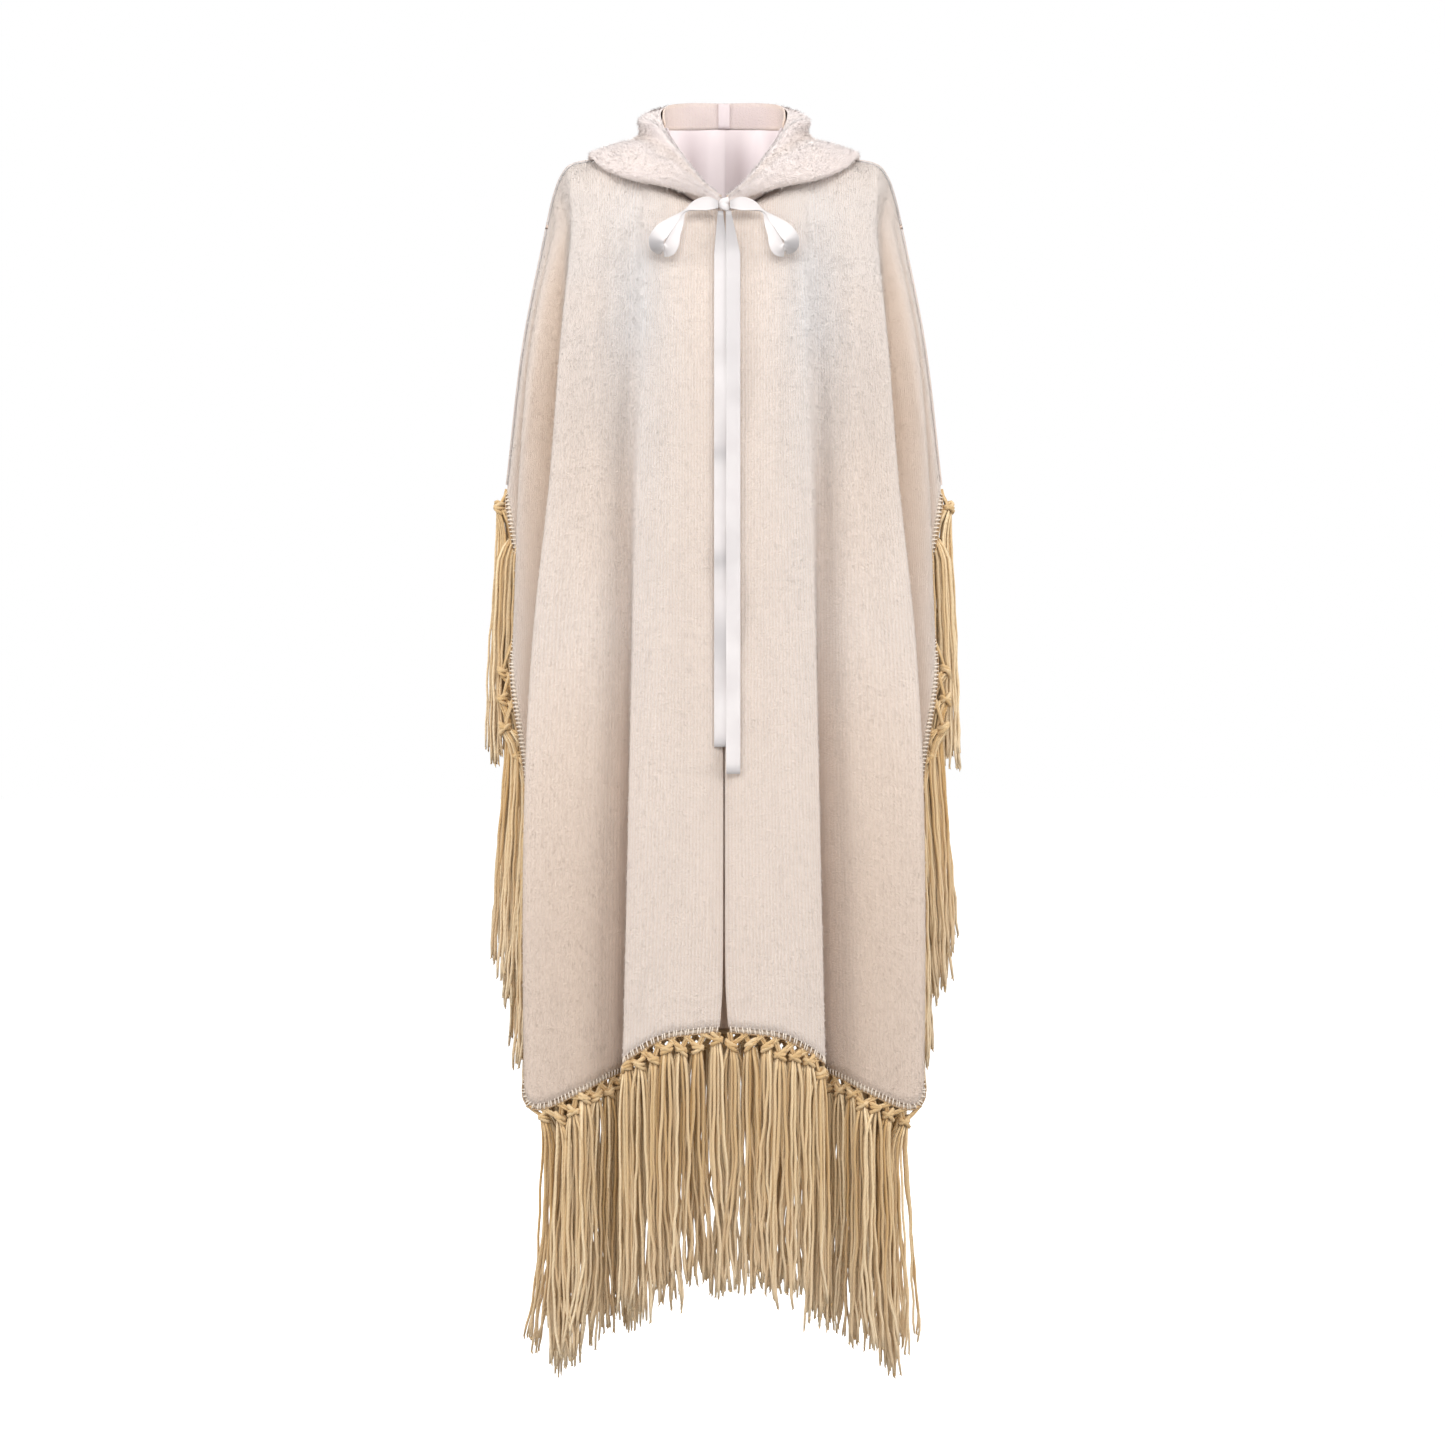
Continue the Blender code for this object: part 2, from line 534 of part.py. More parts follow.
def lowest_edge(grid):
    """The lower edge of a panel, with the way on from the cloth at each point."""
    edge = grid[-1]
    along = np.gradient(edge, axis=0)
    along /= np.linalg.norm(along, axis=1, keepdims=True)
    onward = np.cross(along, normals(grid)[-1])
    drop = grid[-1] - grid[-2]
    onward *= np.sign(np.sum(onward * drop, axis=1, keepdims=True))
    onward[abs(edge[:, 1]) < SEAM_GAP, 1] = 0.0
    return edge, onward / np.linalg.norm(onward, axis=1, keepdims=True)


def strips_before(folds, name):
    """How many strips of cloth lie before the named fold."""
    names = [fold[0] for fold in folds]
    return sum(fold[3] for fold in folds[:names.index(name)])


def hang_apart(knots, ends, side_of):
    """Where the side strands hang: pushed apart until none meets a strand or a knot."""
    spots = knots[:, :2].copy()
    spots[:, 0] += np.interp(knots[:, 2], SIDE_HEIGHTS, SIDE_FLARE)
    reach = np.interp(knots[:, 2], SIDE_HEIGHTS, SIDE_REACH)
    tops = knots[:, 2] - KNOT_WIDTH / 2
    share_level = (ends[:, None] < tops[None]) & (ends[None] < tops[:, None])
    np.fill_diagonal(share_level, False)
    passes_knot = (ends[:, None] < knots[None, :, 2]) & (tops[:, None] > knots[None, :, 2])
    for _ in range(HANGING_ROUNDS):
        for others, meets, part in ((spots, share_level, 0.5), (knots[:, :2], passes_knot, 1)):
            gap = spots[:, None] - others[None]
            gap[..., 0] += 1e-6
            size = np.linalg.norm(gap, axis=2)
            push = np.where(meets, (STRAND_PITCH - size).clip(min=0), 0) * part / size
            spots += 0.5 * (gap * push[..., None]).sum(axis=1)
        spots[:, 1] = side_of * (side_of * spots[:, 1]).clip(min=STRAND_WIDTH * SEAM_CLEARANCE)
        spots[:, 0] = spots[:, 0].clip(SIDE_NEAREST, reach)
    return spots


def knot_of(root, onward, at_side):
    """The centre of a bundle's knot, a little on from the cloth and below its root."""
    knot = root + onward * KNOT_DROP * KNOT_ONWARD
    knot[2] -= KNOT_DROP * (1 - KNOT_ONWARD)
    if at_side:
        knot[1] = math.copysign(max(abs(knot[1]), KNOT_WIDTH * SEAM_CLEARANCE), root[1])
    return knot


def fringe_roots(grid, columns, spacing, seed):
    """Roots of the bundles on part of a panel's lower edge: places, ways on and ends."""
    edge, onward = (values[columns] for values in lowest_edge(grid))
    run = lengths_along(edge)
    count = int(round(run[-1] / spacing))
    places = (np.arange(count) + 0.5) * run[-1] / count
    roots = read_along(edge + onward * (STRIP_GAP + STRIP_HEIGHT), run, places)
    ways = read_along(onward, run, places)
    lengths = FRINGE_LENGTH + LENGTH_SPREAD * np.sin(WAVE_STEP * np.arange(count) + seed)
    return places, roots, ways, roots[:, 2] - lengths


def read_along(values, run, places):
    """Values along an edge, read at places between its points."""
    return np.column_stack([np.interp(places, run, values[:, axis]) for axis in range(3)])


def fringe(name, grid, columns, spacing, seed, spots=None):
    """A strip parted from the cloth's edge, with a knotted bundle at each root.

    spots, where given, holds the place across and out where each bundle hangs.
    """
    places, _, ways, ends = fringe_roots(grid, columns, spacing, seed)
    edge, onward = (values[columns] for values in lowest_edge(grid))
    face = panel_inset(grid)[-1][columns]
    run = lengths_along(edge)
    bends = [bend for bend in run[1:-1] if min(abs(places - bend)) > ROOT_WIDTH * SEAM_CLEARANCE]
    marks = np.sort(np.concatenate([[STRIP_END, run[-1] - STRIP_END], bends,
                                    places - ROOT_WIDTH / 2, places + ROOT_WIDTH / 2]))
    cells = np.searchsorted(marks, places) - 1
    spot, way, proud = (read_along(values, run, marks) for values in (edge, onward, face))
    top = spot + way * STRIP_GAP + proud * KNIT / 2
    low = top + way * STRIP_HEIGHT
    proud = proud * STRIP_THICKNESS / 2
    corners = list(np.stack([top - proud, top + proud, low + proud, low - proud], axis=1)
                   .reshape(-1, 3))
    last = 4 * (len(marks) - 1)
    faces = [[0, 1, 2, 3], [last + 3, last + 2, last + 1, last]]
    for cell in range(len(marks) - 1):
        for side in range(4):
            if side == 2 and cell in cells:
                continue
            here, there = 4 * cell + side, 4 * cell + (side + 1) % 4
            faces.append([there, here, here + 4, there + 4])
    down = np.array([0.0, 0.0, -1.0])
    for index, away in enumerate(ways):
        cell = 4 * cells[index]
        ring = [cell + 3, cell + 2, cell + 6, cell + 7]
        base = np.array([corners[corner] for corner in ring])
        across = base[3] - base[0]
        across /= np.linalg.norm(across)
        depth = base[1] - base[0]
        depth /= np.linalg.norm(depth)
        knot = knot_of(base.mean(axis=0), away, spots is not None)
        if spots is None:
            over = max(abs(knot[0]) - HEM_STRAIGHT, 0.0)
            hang = knot[:2] - np.array([math.copysign(over * HEM_PULL, knot[0]), 0.0])
            slant = math.copysign(over * HEM_FLARE, knot[0])
        else:
            hang = spots[index]
            slant = math.copysign(np.interp(knot[2], SIDE_HEIGHTS, SIDE_SLANT), knot[0])
        neck = np.array([*hang, knot[2] - NECK_DROP])
        end = np.array([hang[0] + slant, hang[1], ends[index]])
        level = across - down * across[2] * down[2]
        if np.linalg.norm(level) < 0.5:
            level = -away * np.array([1, 1, 0]) * np.sign(-across[2])
        level /= np.linalg.norm(level)
        flat = np.cross(level, down)
        flat *= np.sign(np.dot(flat, depth))
        tilt = (across + level) / np.linalg.norm(across + level)
        end_width = END_WIDTH if spots is None else SIDE_END_WIDTH
        sections = ((knot, tilt, flat, KNOT_WIDTH, KNOT_DEPTH),
                    (neck, level, flat, STRAND_WIDTH, STRAND_WIDTH),
                    (end, level, flat, end_width, STRAND_WIDTH))
        for place, wide, deep, width, thick in sections:
            first = len(corners)
            for across_sign, depth_sign in ((-1, -1), (-1, 1), (1, 1), (1, -1)):
                corners.append(place + wide * width * across_sign / 2
                               + deep * thick * depth_sign / 2)
            fresh = [first, first + 1, first + 2, first + 3]
            for side in range(4):
                turn = (side + 1) % 4
                faces.append([ring[side], ring[turn], fresh[turn], fresh[side]])
            ring = fresh
        faces.append(ring)
    return build(name, corners, faces, "fringe_yarn")


for leftover in list(bpy.data.objects):
    bpy.data.objects.remove(leftover, do_unlink=True)

finishes = {}
for label, (colour, roughness) in FINISHES.items():
    material = bpy.data.materials.new(label)
    material.use_nodes = True
    shader = material.node_tree.nodes["Principled BSDF"]
    shader.inputs["Base Color"].default_value = (*colour, 1.0)
    shader.inputs["Roughness"].default_value = roughness
    shader.inputs["Metallic"].default_value = 0.0
    finishes[label] = material

front = front_panel()
back = back_panel()
hood = hood_shell()
wall("front_right", front, KNIT, "plush_knit", panel_inset(front))
wall("front_left", mirrored(front), KNIT, "plush_knit", panel_inset(mirrored(front)))
wall("back", back, KNIT, "plush_knit", panel_inset(back))
wall("hood", hood, HOOD_KNIT, "plush_knit", -normals(hood))

angles = np.linspace(FACING_START, 180, FACING_COLUMNS)
facing = inside_neck(angles, 0.0, facing_edge(angles), 0.0, FACING_INSETS, FACING_ROWS)
wall("hood_facing", facing, FACING, "plush_knit", normals(facing))
angles = np.linspace(LINING_START, 180, LINING_COLUMNS)
lining = inside_neck(angles, facing_edge(angles) + LINING_STEP, 1.0, LINING_DROP,
                     LINING_INSETS, LINING_ROWS)
wall("hood_lining", lining, SATIN, "satin_lining", normals(lining))
angles = np.array([TAB_START, 180.0])
tab = inside_neck(angles, TAB_TOP, facing_edge(angles), 0.0, TAB_INSETS, FACING_ROWS)
wall("hood_tab", tab, SATIN, "satin_lining", normals(tab))

knot_of_ribbon("ribbon_knot")
for label, sign in (("left", -1), ("right", 1)):
    loop_of_ribbon("ribbon_loop_" + label, sign)
    tail_of_ribbon("ribbon_tail_" + label, label, front)

front_corner = strips_before(FRONT_FOLDS, "edge B")
back_corner = strips_before(BACK_FOLDS, "arm seam") - strips_before(BACK_FOLDS, "edge L")
front_hem = np.s_[:front_corner + 1]
front_side = np.s_[front_corner:]
back_hem = np.s_[back_corner:-back_corner]
back_side = np.s_[:back_corner + 1]
front_roots = fringe_roots(front, front_side, SIDE_SPACING, 0.5)
back_roots = fringe_roots(back, back_side, SIDE_SPACING, 1.7)
side_roots = np.vstack([front_roots[1], back_roots[1]])
side_ways = np.vstack([front_roots[2], back_roots[2]])
side_knots = np.array([knot_of(root, way, True) for root, way in zip(side_roots, side_ways)])
side_ends = np.concatenate([front_roots[3], back_roots[3]])
side_of = np.concatenate([-np.ones(len(front_roots[1])), np.ones(len(back_roots[1]))])
spots = hang_apart(side_knots, side_ends, side_of)
front_spots, back_spots = spots[:len(front_roots[1])], spots[len(front_roots[1]):]
flip = np.array([-1.0, 1.0])

fringe("fringe_hem_front_right", front, front_hem, HEM_SPACING, 0.0)
fringe("fringe_hem_front_left", mirrored(front), front_hem, HEM_SPACING, 0.9)
fringe("fringe_hem_back", back, back_hem, HEM_SPACING, 2.1)
fringe("fringe_side_front_right", front, front_side, SIDE_SPACING, 0.5, front_spots)
fringe("fringe_side_front_left", mirrored(front), front_side, SIDE_SPACING, 0.5,
       front_spots * flip)
fringe("fringe_side_back_right", back, back_side, SIDE_SPACING, 1.7, back_spots)
fringe("fringe_side_back_left", mirrored(back), back_side, SIDE_SPACING, 1.7,
       back_spots * flip)
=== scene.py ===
"""A hooded poncho in cream plush knit, with a satin ribbon tied at the neck and knotted fringe."""

import math

import bpy
import numpy as np
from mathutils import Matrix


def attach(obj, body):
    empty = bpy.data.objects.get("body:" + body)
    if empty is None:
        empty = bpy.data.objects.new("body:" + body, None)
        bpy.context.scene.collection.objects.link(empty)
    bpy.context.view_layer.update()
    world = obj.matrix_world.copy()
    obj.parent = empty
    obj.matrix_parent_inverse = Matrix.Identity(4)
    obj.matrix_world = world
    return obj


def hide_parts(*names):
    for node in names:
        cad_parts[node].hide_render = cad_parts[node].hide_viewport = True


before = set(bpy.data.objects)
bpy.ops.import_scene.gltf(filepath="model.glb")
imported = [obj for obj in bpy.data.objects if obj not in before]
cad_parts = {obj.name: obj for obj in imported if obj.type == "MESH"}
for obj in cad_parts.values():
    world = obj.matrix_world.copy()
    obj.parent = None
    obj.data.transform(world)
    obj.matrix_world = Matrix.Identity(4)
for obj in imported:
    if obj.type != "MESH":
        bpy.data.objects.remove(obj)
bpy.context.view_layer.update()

# --- Studio: a white floor that runs out of sight, a large soft light in front, smaller ones at
# both sides to model the folds, and one behind. The camera stands level with the middle of the
# poncho, five metres in front of it.
FLOOR_HEIGHT = -1.545
FLOOR_HALF = 40.0
FLOOR_GREY = (0.42, 0.42, 0.42, 1.0)
FLOOR_ROUGHNESS = 0.9
FLOOR_GLOW = 0.95
CAMERA_PLACE = (-0.0018, -5.0, -0.7134)
CAMERA_LENS = 103.8
SENSOR_WIDTH = 36.0
SKY_LIGHT = 0.47
SKY_SEEN = 1.0
WHITE = (1.0, 1.0, 1.0, 1.0)
LIGHTS_AIM = (0, 0, -0.6)
# Each softbox: name, place, side of its square and power in watts
SOFTBOXES = (
    ("front_softbox", (0.15, -3.5, 2.3), 2.8, 122.0),
    ("left_softbox", (-3.0, -1.2, 0.8), 1.8, 66.0),
    ("right_softbox", (3.0, -1.2, 0.8), 1.8, 58.0),
    ("back_softbox", (0.8, 3.2, 1.2), 2.0, 130.0),
)


def new_object(name, data):
    """An object in the scene, made of a mesh, a light or a camera."""
    thing = bpy.data.objects.new(name, data)
    bpy.context.scene.collection.objects.link(thing)
    return thing


def add_node(tree, kind, **settings):
    """A node of a finish, with its options and its unlinked inputs set by name."""
    node = tree.nodes.new(kind)
    for label, value in settings.items():
        title = label.replace("_", " ").title()
        if title in node.inputs:
            node.inputs[title].default_value = value
        else:
            setattr(node, label, value)
    return node


def calculated(tree, operation, *values):
    """A sum on numbers and on the outputs of other nodes."""
    node = add_node(tree, "ShaderNodeMath", operation=operation)
    for socket, value in zip(node.inputs, values):
        if isinstance(value, float):
            socket.default_value = value
        else:
            tree.links.new(value, socket)
    return node.outputs[0]


def ranged(tree, value, low, high, to_low, to_high):
    """A value stretched from one range to another."""
    span = add_node(tree, "ShaderNodeMapRange")
    for label, number in (("From Min", low), ("From Max", high), ("To Min", to_low),
                          ("To Max", to_high)):
        span.inputs[label].default_value = number
    tree.links.new(value, span.inputs["Value"])
    return span.outputs["Result"]


camera = new_object("camera", bpy.data.cameras.new("camera"))
camera.data.sensor_width = SENSOR_WIDTH
camera.data.lens = CAMERA_LENS
camera.location = CAMERA_PLACE
camera.rotation_euler = (math.radians(90), 0.0, 0.0)
bpy.context.scene.camera = camera
bpy.context.scene.view_settings.view_transform = "Standard"

for name, place, size, power in SOFTBOXES:
    lamp = bpy.data.lights.new(name, "AREA")
    lamp.size = size
    lamp.energy = power
    softbox = new_object(name, lamp)
    softbox.location = place
    over, ahead, rise = np.array(LIGHTS_AIM) - np.array(place)
    softbox.rotation_euler = (math.atan2(math.hypot(over, ahead), -rise), 0.0,
                              math.atan2(over, -ahead) + math.pi)

bpy.context.scene.world = bpy.data.worlds.new("studio")
bpy.context.scene.world.use_nodes = True
sky = bpy.context.scene.world.node_tree
background = sky.nodes["Background"]
background.inputs["Color"].default_value = WHITE
camera_ray = add_node(sky, "ShaderNodeLightPath").outputs["Is Camera Ray"]
sky.links.new(ranged(sky, camera_ray, 0.0, 1.0, SKY_LIGHT, SKY_SEEN),
              background.inputs["Strength"])

floor_mesh = bpy.data.meshes.new("floor")
floor_mesh.from_pydata([(x * FLOOR_HALF, y * FLOOR_HALF, FLOOR_HEIGHT)
                        for x, y in ((-1, -1), (1, -1), (1, 1), (-1, 1))], [], [(0, 1, 2, 3)])
floor = new_object("floor", floor_mesh)
paper = bpy.data.materials.new("white_paper")
paper.use_nodes = True
paper_shader = paper.node_tree.nodes["Principled BSDF"]
paper_shader.inputs["Base Color"].default_value = FLOOR_GREY
paper_shader.inputs["Roughness"].default_value = FLOOR_ROUGHNESS
paper_shader.inputs["Emission Color"].default_value = WHITE
camera_ray = add_node(paper.node_tree, "ShaderNodeLightPath").outputs["Is Camera Ray"]
paper.node_tree.links.new(calculated(paper.node_tree, "MULTIPLY", camera_ray, FLOOR_GLOW),
                          paper_shader.inputs["Emission Strength"])
floor_mesh.materials.append(paper)

# --- Fronts: two mirrored panels of plush knit, fine ribs running down, a short cream pile
# brushed over them. Each hangs from the neck seam and the shoulder seam in overlapping folds.
KNIT = 0.003
EDGE_ROUND = 0.18
SEAM_GAP = 0.0003
NECK_HALF_WIDTH = 0.085
NECK_FRONT = 0.084
NECK_BACK = 0.084
NECK_SIDE_HEIGHT = -0.030
NECK_PIT_DROP = 0.078
NECK_BACK_DROP = 0.028
CENTRE_SLIT = 0.0012
SHOULDER_SEAM = ((0.0850, -0.0300), (0.1200, -0.0362), (0.1500, -0.0392), (0.1720, -0.0420),
                 (0.1835, -0.0462), (0.1904, -0.0530), (0.1972, -0.0660), (0.2040, -0.0870),
                 (0.2115, -0.1200))
YOKE_ACROSS, YOKE_OUT, YOKE_DOWN = 0.50, 0.66, 0.34
FOLD_SAMPLES = 24
CLOTH_ROWS = (0, 0.03, 0.065, 0.11, 0.165, 0.23, 0.30, 0.38, 0.47, 0.56, 0.65, 0.74, 0.83,
              0.92, 1)
# Each fold: name, start (0 pit of the neck, 1 neck point, 2 past the shoulder), height of its
# lower end, strips up to the next fold, then (across, out) at each fold height.
FOLD_HEIGHTS = (-0.12, -0.25, -0.43, -0.60, -0.75, -0.92, -1.12)
FRONT_FOLDS = (
    ("centre edge", 0.00, -1.069, 2,
     (0.0012, 0.094), (0.0012, 0.115), (0.0012, 0.122), (0.0012, 0.125), (0.0013, 0.127),
     (0.0018, 0.129), (0.0078, 0.131)),
    ("centre panel", 0.28, -1.071, 2,
     (0.0300, 0.097), (0.0300, 0.119), (0.0300, 0.128), (0.0300, 0.131), (0.0305, 0.133),
     (0.0320, 0.135), (0.0350, 0.137)),
    ("crest A", 0.52, -1.077, 2,
     (0.0600, 0.098), (0.0620, 0.122), (0.0630, 0.132), (0.0640, 0.136), (0.0660, 0.139),
     (0.0690, 0.141), (0.0740, 0.142)),
    ("edge A", 0.82, -1.104, 3,
     (0.0900, 0.094), (0.0945, 0.116), (0.0995, 0.122), (0.1045, 0.124), (0.1085, 0.125),
     (0.1125, 0.126), (0.1175, 0.126)),
    ("valley AB", 1.04, -1.116, 3,
     (0.1060, 0.089), (0.1095, 0.106), (0.1105, 0.101), (0.1100, 0.095), (0.1100, 0.090),
     (0.1110, 0.086), (0.1140, 0.083)),
    ("rise B", 1.20, -1.126, 2,
     (0.1270, 0.085), (0.1300, 0.104), (0.1320, 0.108), (0.1330, 0.108), (0.1340, 0.106),
     (0.1360, 0.104), (0.1380, 0.103)),
    ("crest B", 1.37, -1.142, 3,
     (0.1500, 0.079), (0.1576, 0.104), (0.1620, 0.115), (0.1660, 0.119), (0.1690, 0.121),
     (0.1710, 0.122), (0.1722, 0.122)),
    ("edge B", 1.56, -1.160, 3,
     (0.1800, 0.056), (0.1923, 0.080), (0.2045, 0.090), (0.2215, 0.095), (0.2297, 0.097),
     (0.2320, 0.098), (0.2290, 0.099)),
    ("return B", 1.66, -1.020, 3,
     (0.1835, 0.045), (0.1905, 0.063), (0.2010, 0.067), (0.2165, 0.069), (0.2245, 0.070),
     (0.2290, 0.074), (0.2290, 0.082)),
    ("valley BC", 1.75, -0.800, 3,
     (0.1880, 0.035), (0.1960, 0.046), (0.2060, 0.045), (0.2180, 0.048), (0.2260, 0.056)),
    ("crest C", 1.84, -0.640, 3,
     (0.2010, 0.023), (0.2260, 0.033), (0.2430, 0.039), (0.2495, 0.043)),
    ("valley CD", 1.90, -0.505, 2,
     (0.2055, 0.014), (0.2300, 0.020), (0.2425, 0.023)),
    ("lip D", 1.95, -0.438, 2,
     (0.2090, 0.008), (0.2350, 0.011), (0.2575, 0.014)),
    ("arm seam", 2.00, -0.428, 0,
     (0.2115, 0.0), (0.2375, 0.0), (0.2592, 0.0)),
)
FRONT_FINENESS = (3, 8)
# Soft creases: the fold number and height where each starts and ends, half its width, and how
# far it stands out (or in, below nothing)
FRONT_CREASES = (
    (1.3, -0.110, 0.9, -0.420, 0.014, -0.0022), (2.6, -0.090, 2.1, -0.520, 0.016, -0.0030),
    (3.4, -0.080, 2.9, -0.300, 0.012, 0.0022), (0.7, -0.560, 0.6, -1.060, 0.013, 0.0016),
    (1.5, -0.380, 1.7, -1.060, 0.012, -0.0018), (2.4, -0.620, 2.5, -1.070, 0.013, 0.0018),
    (5.6, -0.070, 5.2, -0.330, 0.015, -0.0030), (5.3, -0.300, 5.6, -0.900, 0.013, 0.0020),
    (6.3, -0.180, 6.4, -0.760, 0.014, -0.0026), (6.7, -0.420, 6.5, -1.120, 0.012, 0.0018),
    (5.8, -0.640, 6.0, -1.110, 0.012, -0.0018), (7.4, -0.110, 7.6, -0.420, 0.010, -0.0016),
    (9.4, -0.120, 10.0, -0.420, 0.010, 0.0016), (11.3, -0.100, 11.0, -0.380, 0.009, -0.0012),
)
# Below the ribbon the two edges draw together: drops from the shoulder, how far the edge moves,
# and the share of that in the first columns of the cloth
CLOSING_DROPS = (0.90, 0.985, 1.03, 1.069)
CLOSING = (0.0, 0.0016, 0.0022, 0.0010)
CLOSING_SHARES = (1.0, 0.8, 0.5, 0.25)
# The nap is brushed thick and grey on the chest and thin and peach by the opening and the arms:
# its thickness at each fold, then how that changes with the drop from the shoulder
FRONT_NAPS = (0.05, 0.10, 0.35, 0.85, 1.0, 0.9, 0.75, 0.7, 0.4, 0.2, 0.1, 0.2, 0.25, 0.2)
NAP_DROPS = (0.05, 0.10, 0.18, 0.25, 0.50, 0.75, 1.10)
NAP_GROWTH = (0.35, 0.65, 1.0, 1.0, 0.50, 0.30, 0.35)
# Painted shade in each fold: how dark each fold is painted, and how that grows down the panel
FRONT_FOLD_SHADE = (0.0, 0.0, 0.04, 0.18, 0.62, 0.58, 0.57, 0.42, 1.20, 1.30, 0.16, 0.80, 0.14, 0.10)
SHADE_HEIGHTS = (-1.12, -0.92, -0.60, -0.35, -0.20, -0.08)
SHADE_GROWTH = (1.0, 0.86, 0.32, 0.66, 0.54, 0.0)
CLOUD_CREAM = (0.86, 0.745, 0.675)
# Painted light in the knit's folds: a warm glow of light through shallow folds, then painted shade,
# brown on bare knit and grey in nap
KNIT_FOLD_SHADE = ((0.855, 0.690, 0.570), (0.47, 0.275, 0.135), (0.44, 0.41, 0.41))
SPECK_BROWN = (0.70, 0.56, 0.45)
# Painted shade in the grooves of the ribs
RIB_SHADE_BROWN = (0.72, 0.57, 0.46)
# Painted shade: a warm peach for the inner faces, shaded inside the poncho
INSIDE_SHADE_PEACH = (0.80, 0.60, 0.48)
TUFT_CREAM = (0.88, 0.80, 0.76)
# The same painted glow and painted shade in the folds, for the tufts
TUFT_FOLD_SHADE = ((0.870, 0.710, 0.595), (0.49, 0.295, 0.155), (0.46, 0.43, 0.43))
PILE_LENGTH = 0.0038
PILE_LENGTHS = (0.45, 0.6, 0.8, 1.1)
PILE_LENGTH_SHARES = (0.4, 0.3, 0.2, 0.1)
PILE_WIDTH = 0.0011
PILE_WIDTHS = (0.6, 1.1)
PILE_ROOT = 0.0006
PILE_LEAN = 0.9
PILE_STRAY = 0.32
PILE_TWIST = 0.3
# The way the blades' faces turn at the back of the poncho, and the other way about in front
PILE_FACE = (0.0, 1.0, 0.2)
PILE_FACE_UP = 0.5
PILE_LIT = 0.6
PILE_LIT_SPREAD = 0.20
PILE_LEAST = 0.30
FRONT_BLADES = 85000


def unit(vectors):
    """Vectors brought to length one."""
    return vectors / np.maximum(np.linalg.norm(vectors, axis=-1, keepdims=True), 1e-12)


def spline(knots, points, places):
    """Read a smooth curve through points, given at knots, at each of the places."""
    knots = np.asarray(knots, float)
    points = np.asarray(points, float)
    places = np.asarray(places, float)
    steps = np.diff(knots)
    slopes = np.diff(points, axis=0) / steps[:, None]
    tangents = np.empty_like(points)
    tangents[0], tangents[-1] = slopes[0], slopes[-1]
    weight = (steps[1:] / (steps[1:] + steps[:-1]))[:, None]
    tangents[1:-1] = slopes[:-1] * weight + slopes[1:] * (1 - weight)
    index = np.clip(np.searchsorted(knots, places, side="right") - 1, 0, len(steps) - 1)
    width = steps[index]
    share = np.clip((places - knots[index]) / width, 0, 1)[:, None]
    past = (places - knots[-1]).clip(min=0)[:, None]
    width = width[:, None]
    start, end = points[index], points[index + 1]
    curve = ((1 + 2 * share) * (1 - share) ** 2 * start + share ** 2 * (3 - 2 * share) * end
             + share * (1 - share) ** 2 * width * tangents[index]
             - share ** 2 * (1 - share) * width * tangents[index + 1])
    return curve + past * tangents[-1]


def lengths_along(points, power=1.0):
    """Distance along a chain of points, each step raised to a power."""
    steps = np.linalg.norm(np.diff(points, axis=0), axis=1) ** power
    return np.concatenate(([0.0], np.cumsum(steps + 1e-9)))


def read_evenly(points, shares):
    """Points at the given shares of a chain's length."""
    run = lengths_along(points)
    return spline(run, points, np.asarray(shares) * run[-1])


def neckline(degrees):
    """A point of the neck seam: 0 at the pit of the neck, 90 at the side, 180 at the back."""
    angle = math.radians(degrees)
    ahead = math.cos(angle)
    depth = NECK_FRONT if ahead > 0 else NECK_BACK
    drop = NECK_PIT_DROP if ahead > 0 else NECK_BACK_DROP
    across = max(NECK_HALF_WIDTH * math.sin(angle), CENTRE_SLIT if ahead > 0 else 0.0)
    return np.array([across, -depth * ahead, NECK_SIDE_HEIGHT - drop * abs(ahead) ** 1.4])


def top_edge(start, side):
    """Where a fold starts: on the neckline up to 1, and on the shoulder seam up to 2."""
    if start <= 1:
        return neckline(90 * start if side < 0 else 180 - 90 * start)
    across, height = read_evenly(np.array(SHOULDER_SEAM), [start - 1])[0]
    return np.array([across, 0.0, height])


def fold_line(fold, side, shares):
    """The run of one fold from the top edge to the hem; side is -1 in front, 1 behind."""
    _, start, low, _, *figures = fold
    heights = -np.array(FOLD_HEIGHTS[:len(figures)])
    down = np.linspace(heights[0], -low, FOLD_SAMPLES)
    across_out = spline(heights, figures, down)
    chest = np.column_stack([across_out[:, 0], side * across_out[:, 1], -down])
    if start == 2:
        return read_evenly(chest, shares)
    top = top_edge(start, side)
    yoke = top + (chest[0] - top) * np.array([YOKE_ACROSS, YOKE_OUT, YOKE_DOWN])
    return read_evenly(np.vstack([top, yoke, chest]), shares)


def finer(values, times):
    """The same run of values with each step split."""
    places = np.linspace(0, len(values) - 1, (len(values) - 1) * times + 1)
    return np.interp(places, np.arange(len(values)), values)


def spread_cloth(lines, strips):
    """Lay cloth over fold lines: rows of points, with some strips from fold to fold."""
    lines = np.array(lines)
    rows = []
    for row in range(lines.shape[1]):
        points = lines[:, row]
        knots = lengths_along(points, 0.5)
        places = [knots[0]]
        for left, right, count in zip(knots[:-1], knots[1:], strips):
            places.extend(np.linspace(left, right, count + 1)[1:])
        rows.append(spline(knots, points, places))
    return np.array(rows)


def strips_between(folds, fineness):
    """The strips of cloth from each fold to the next."""
    return [fold[3] * fineness for fold in folds[:-1]]


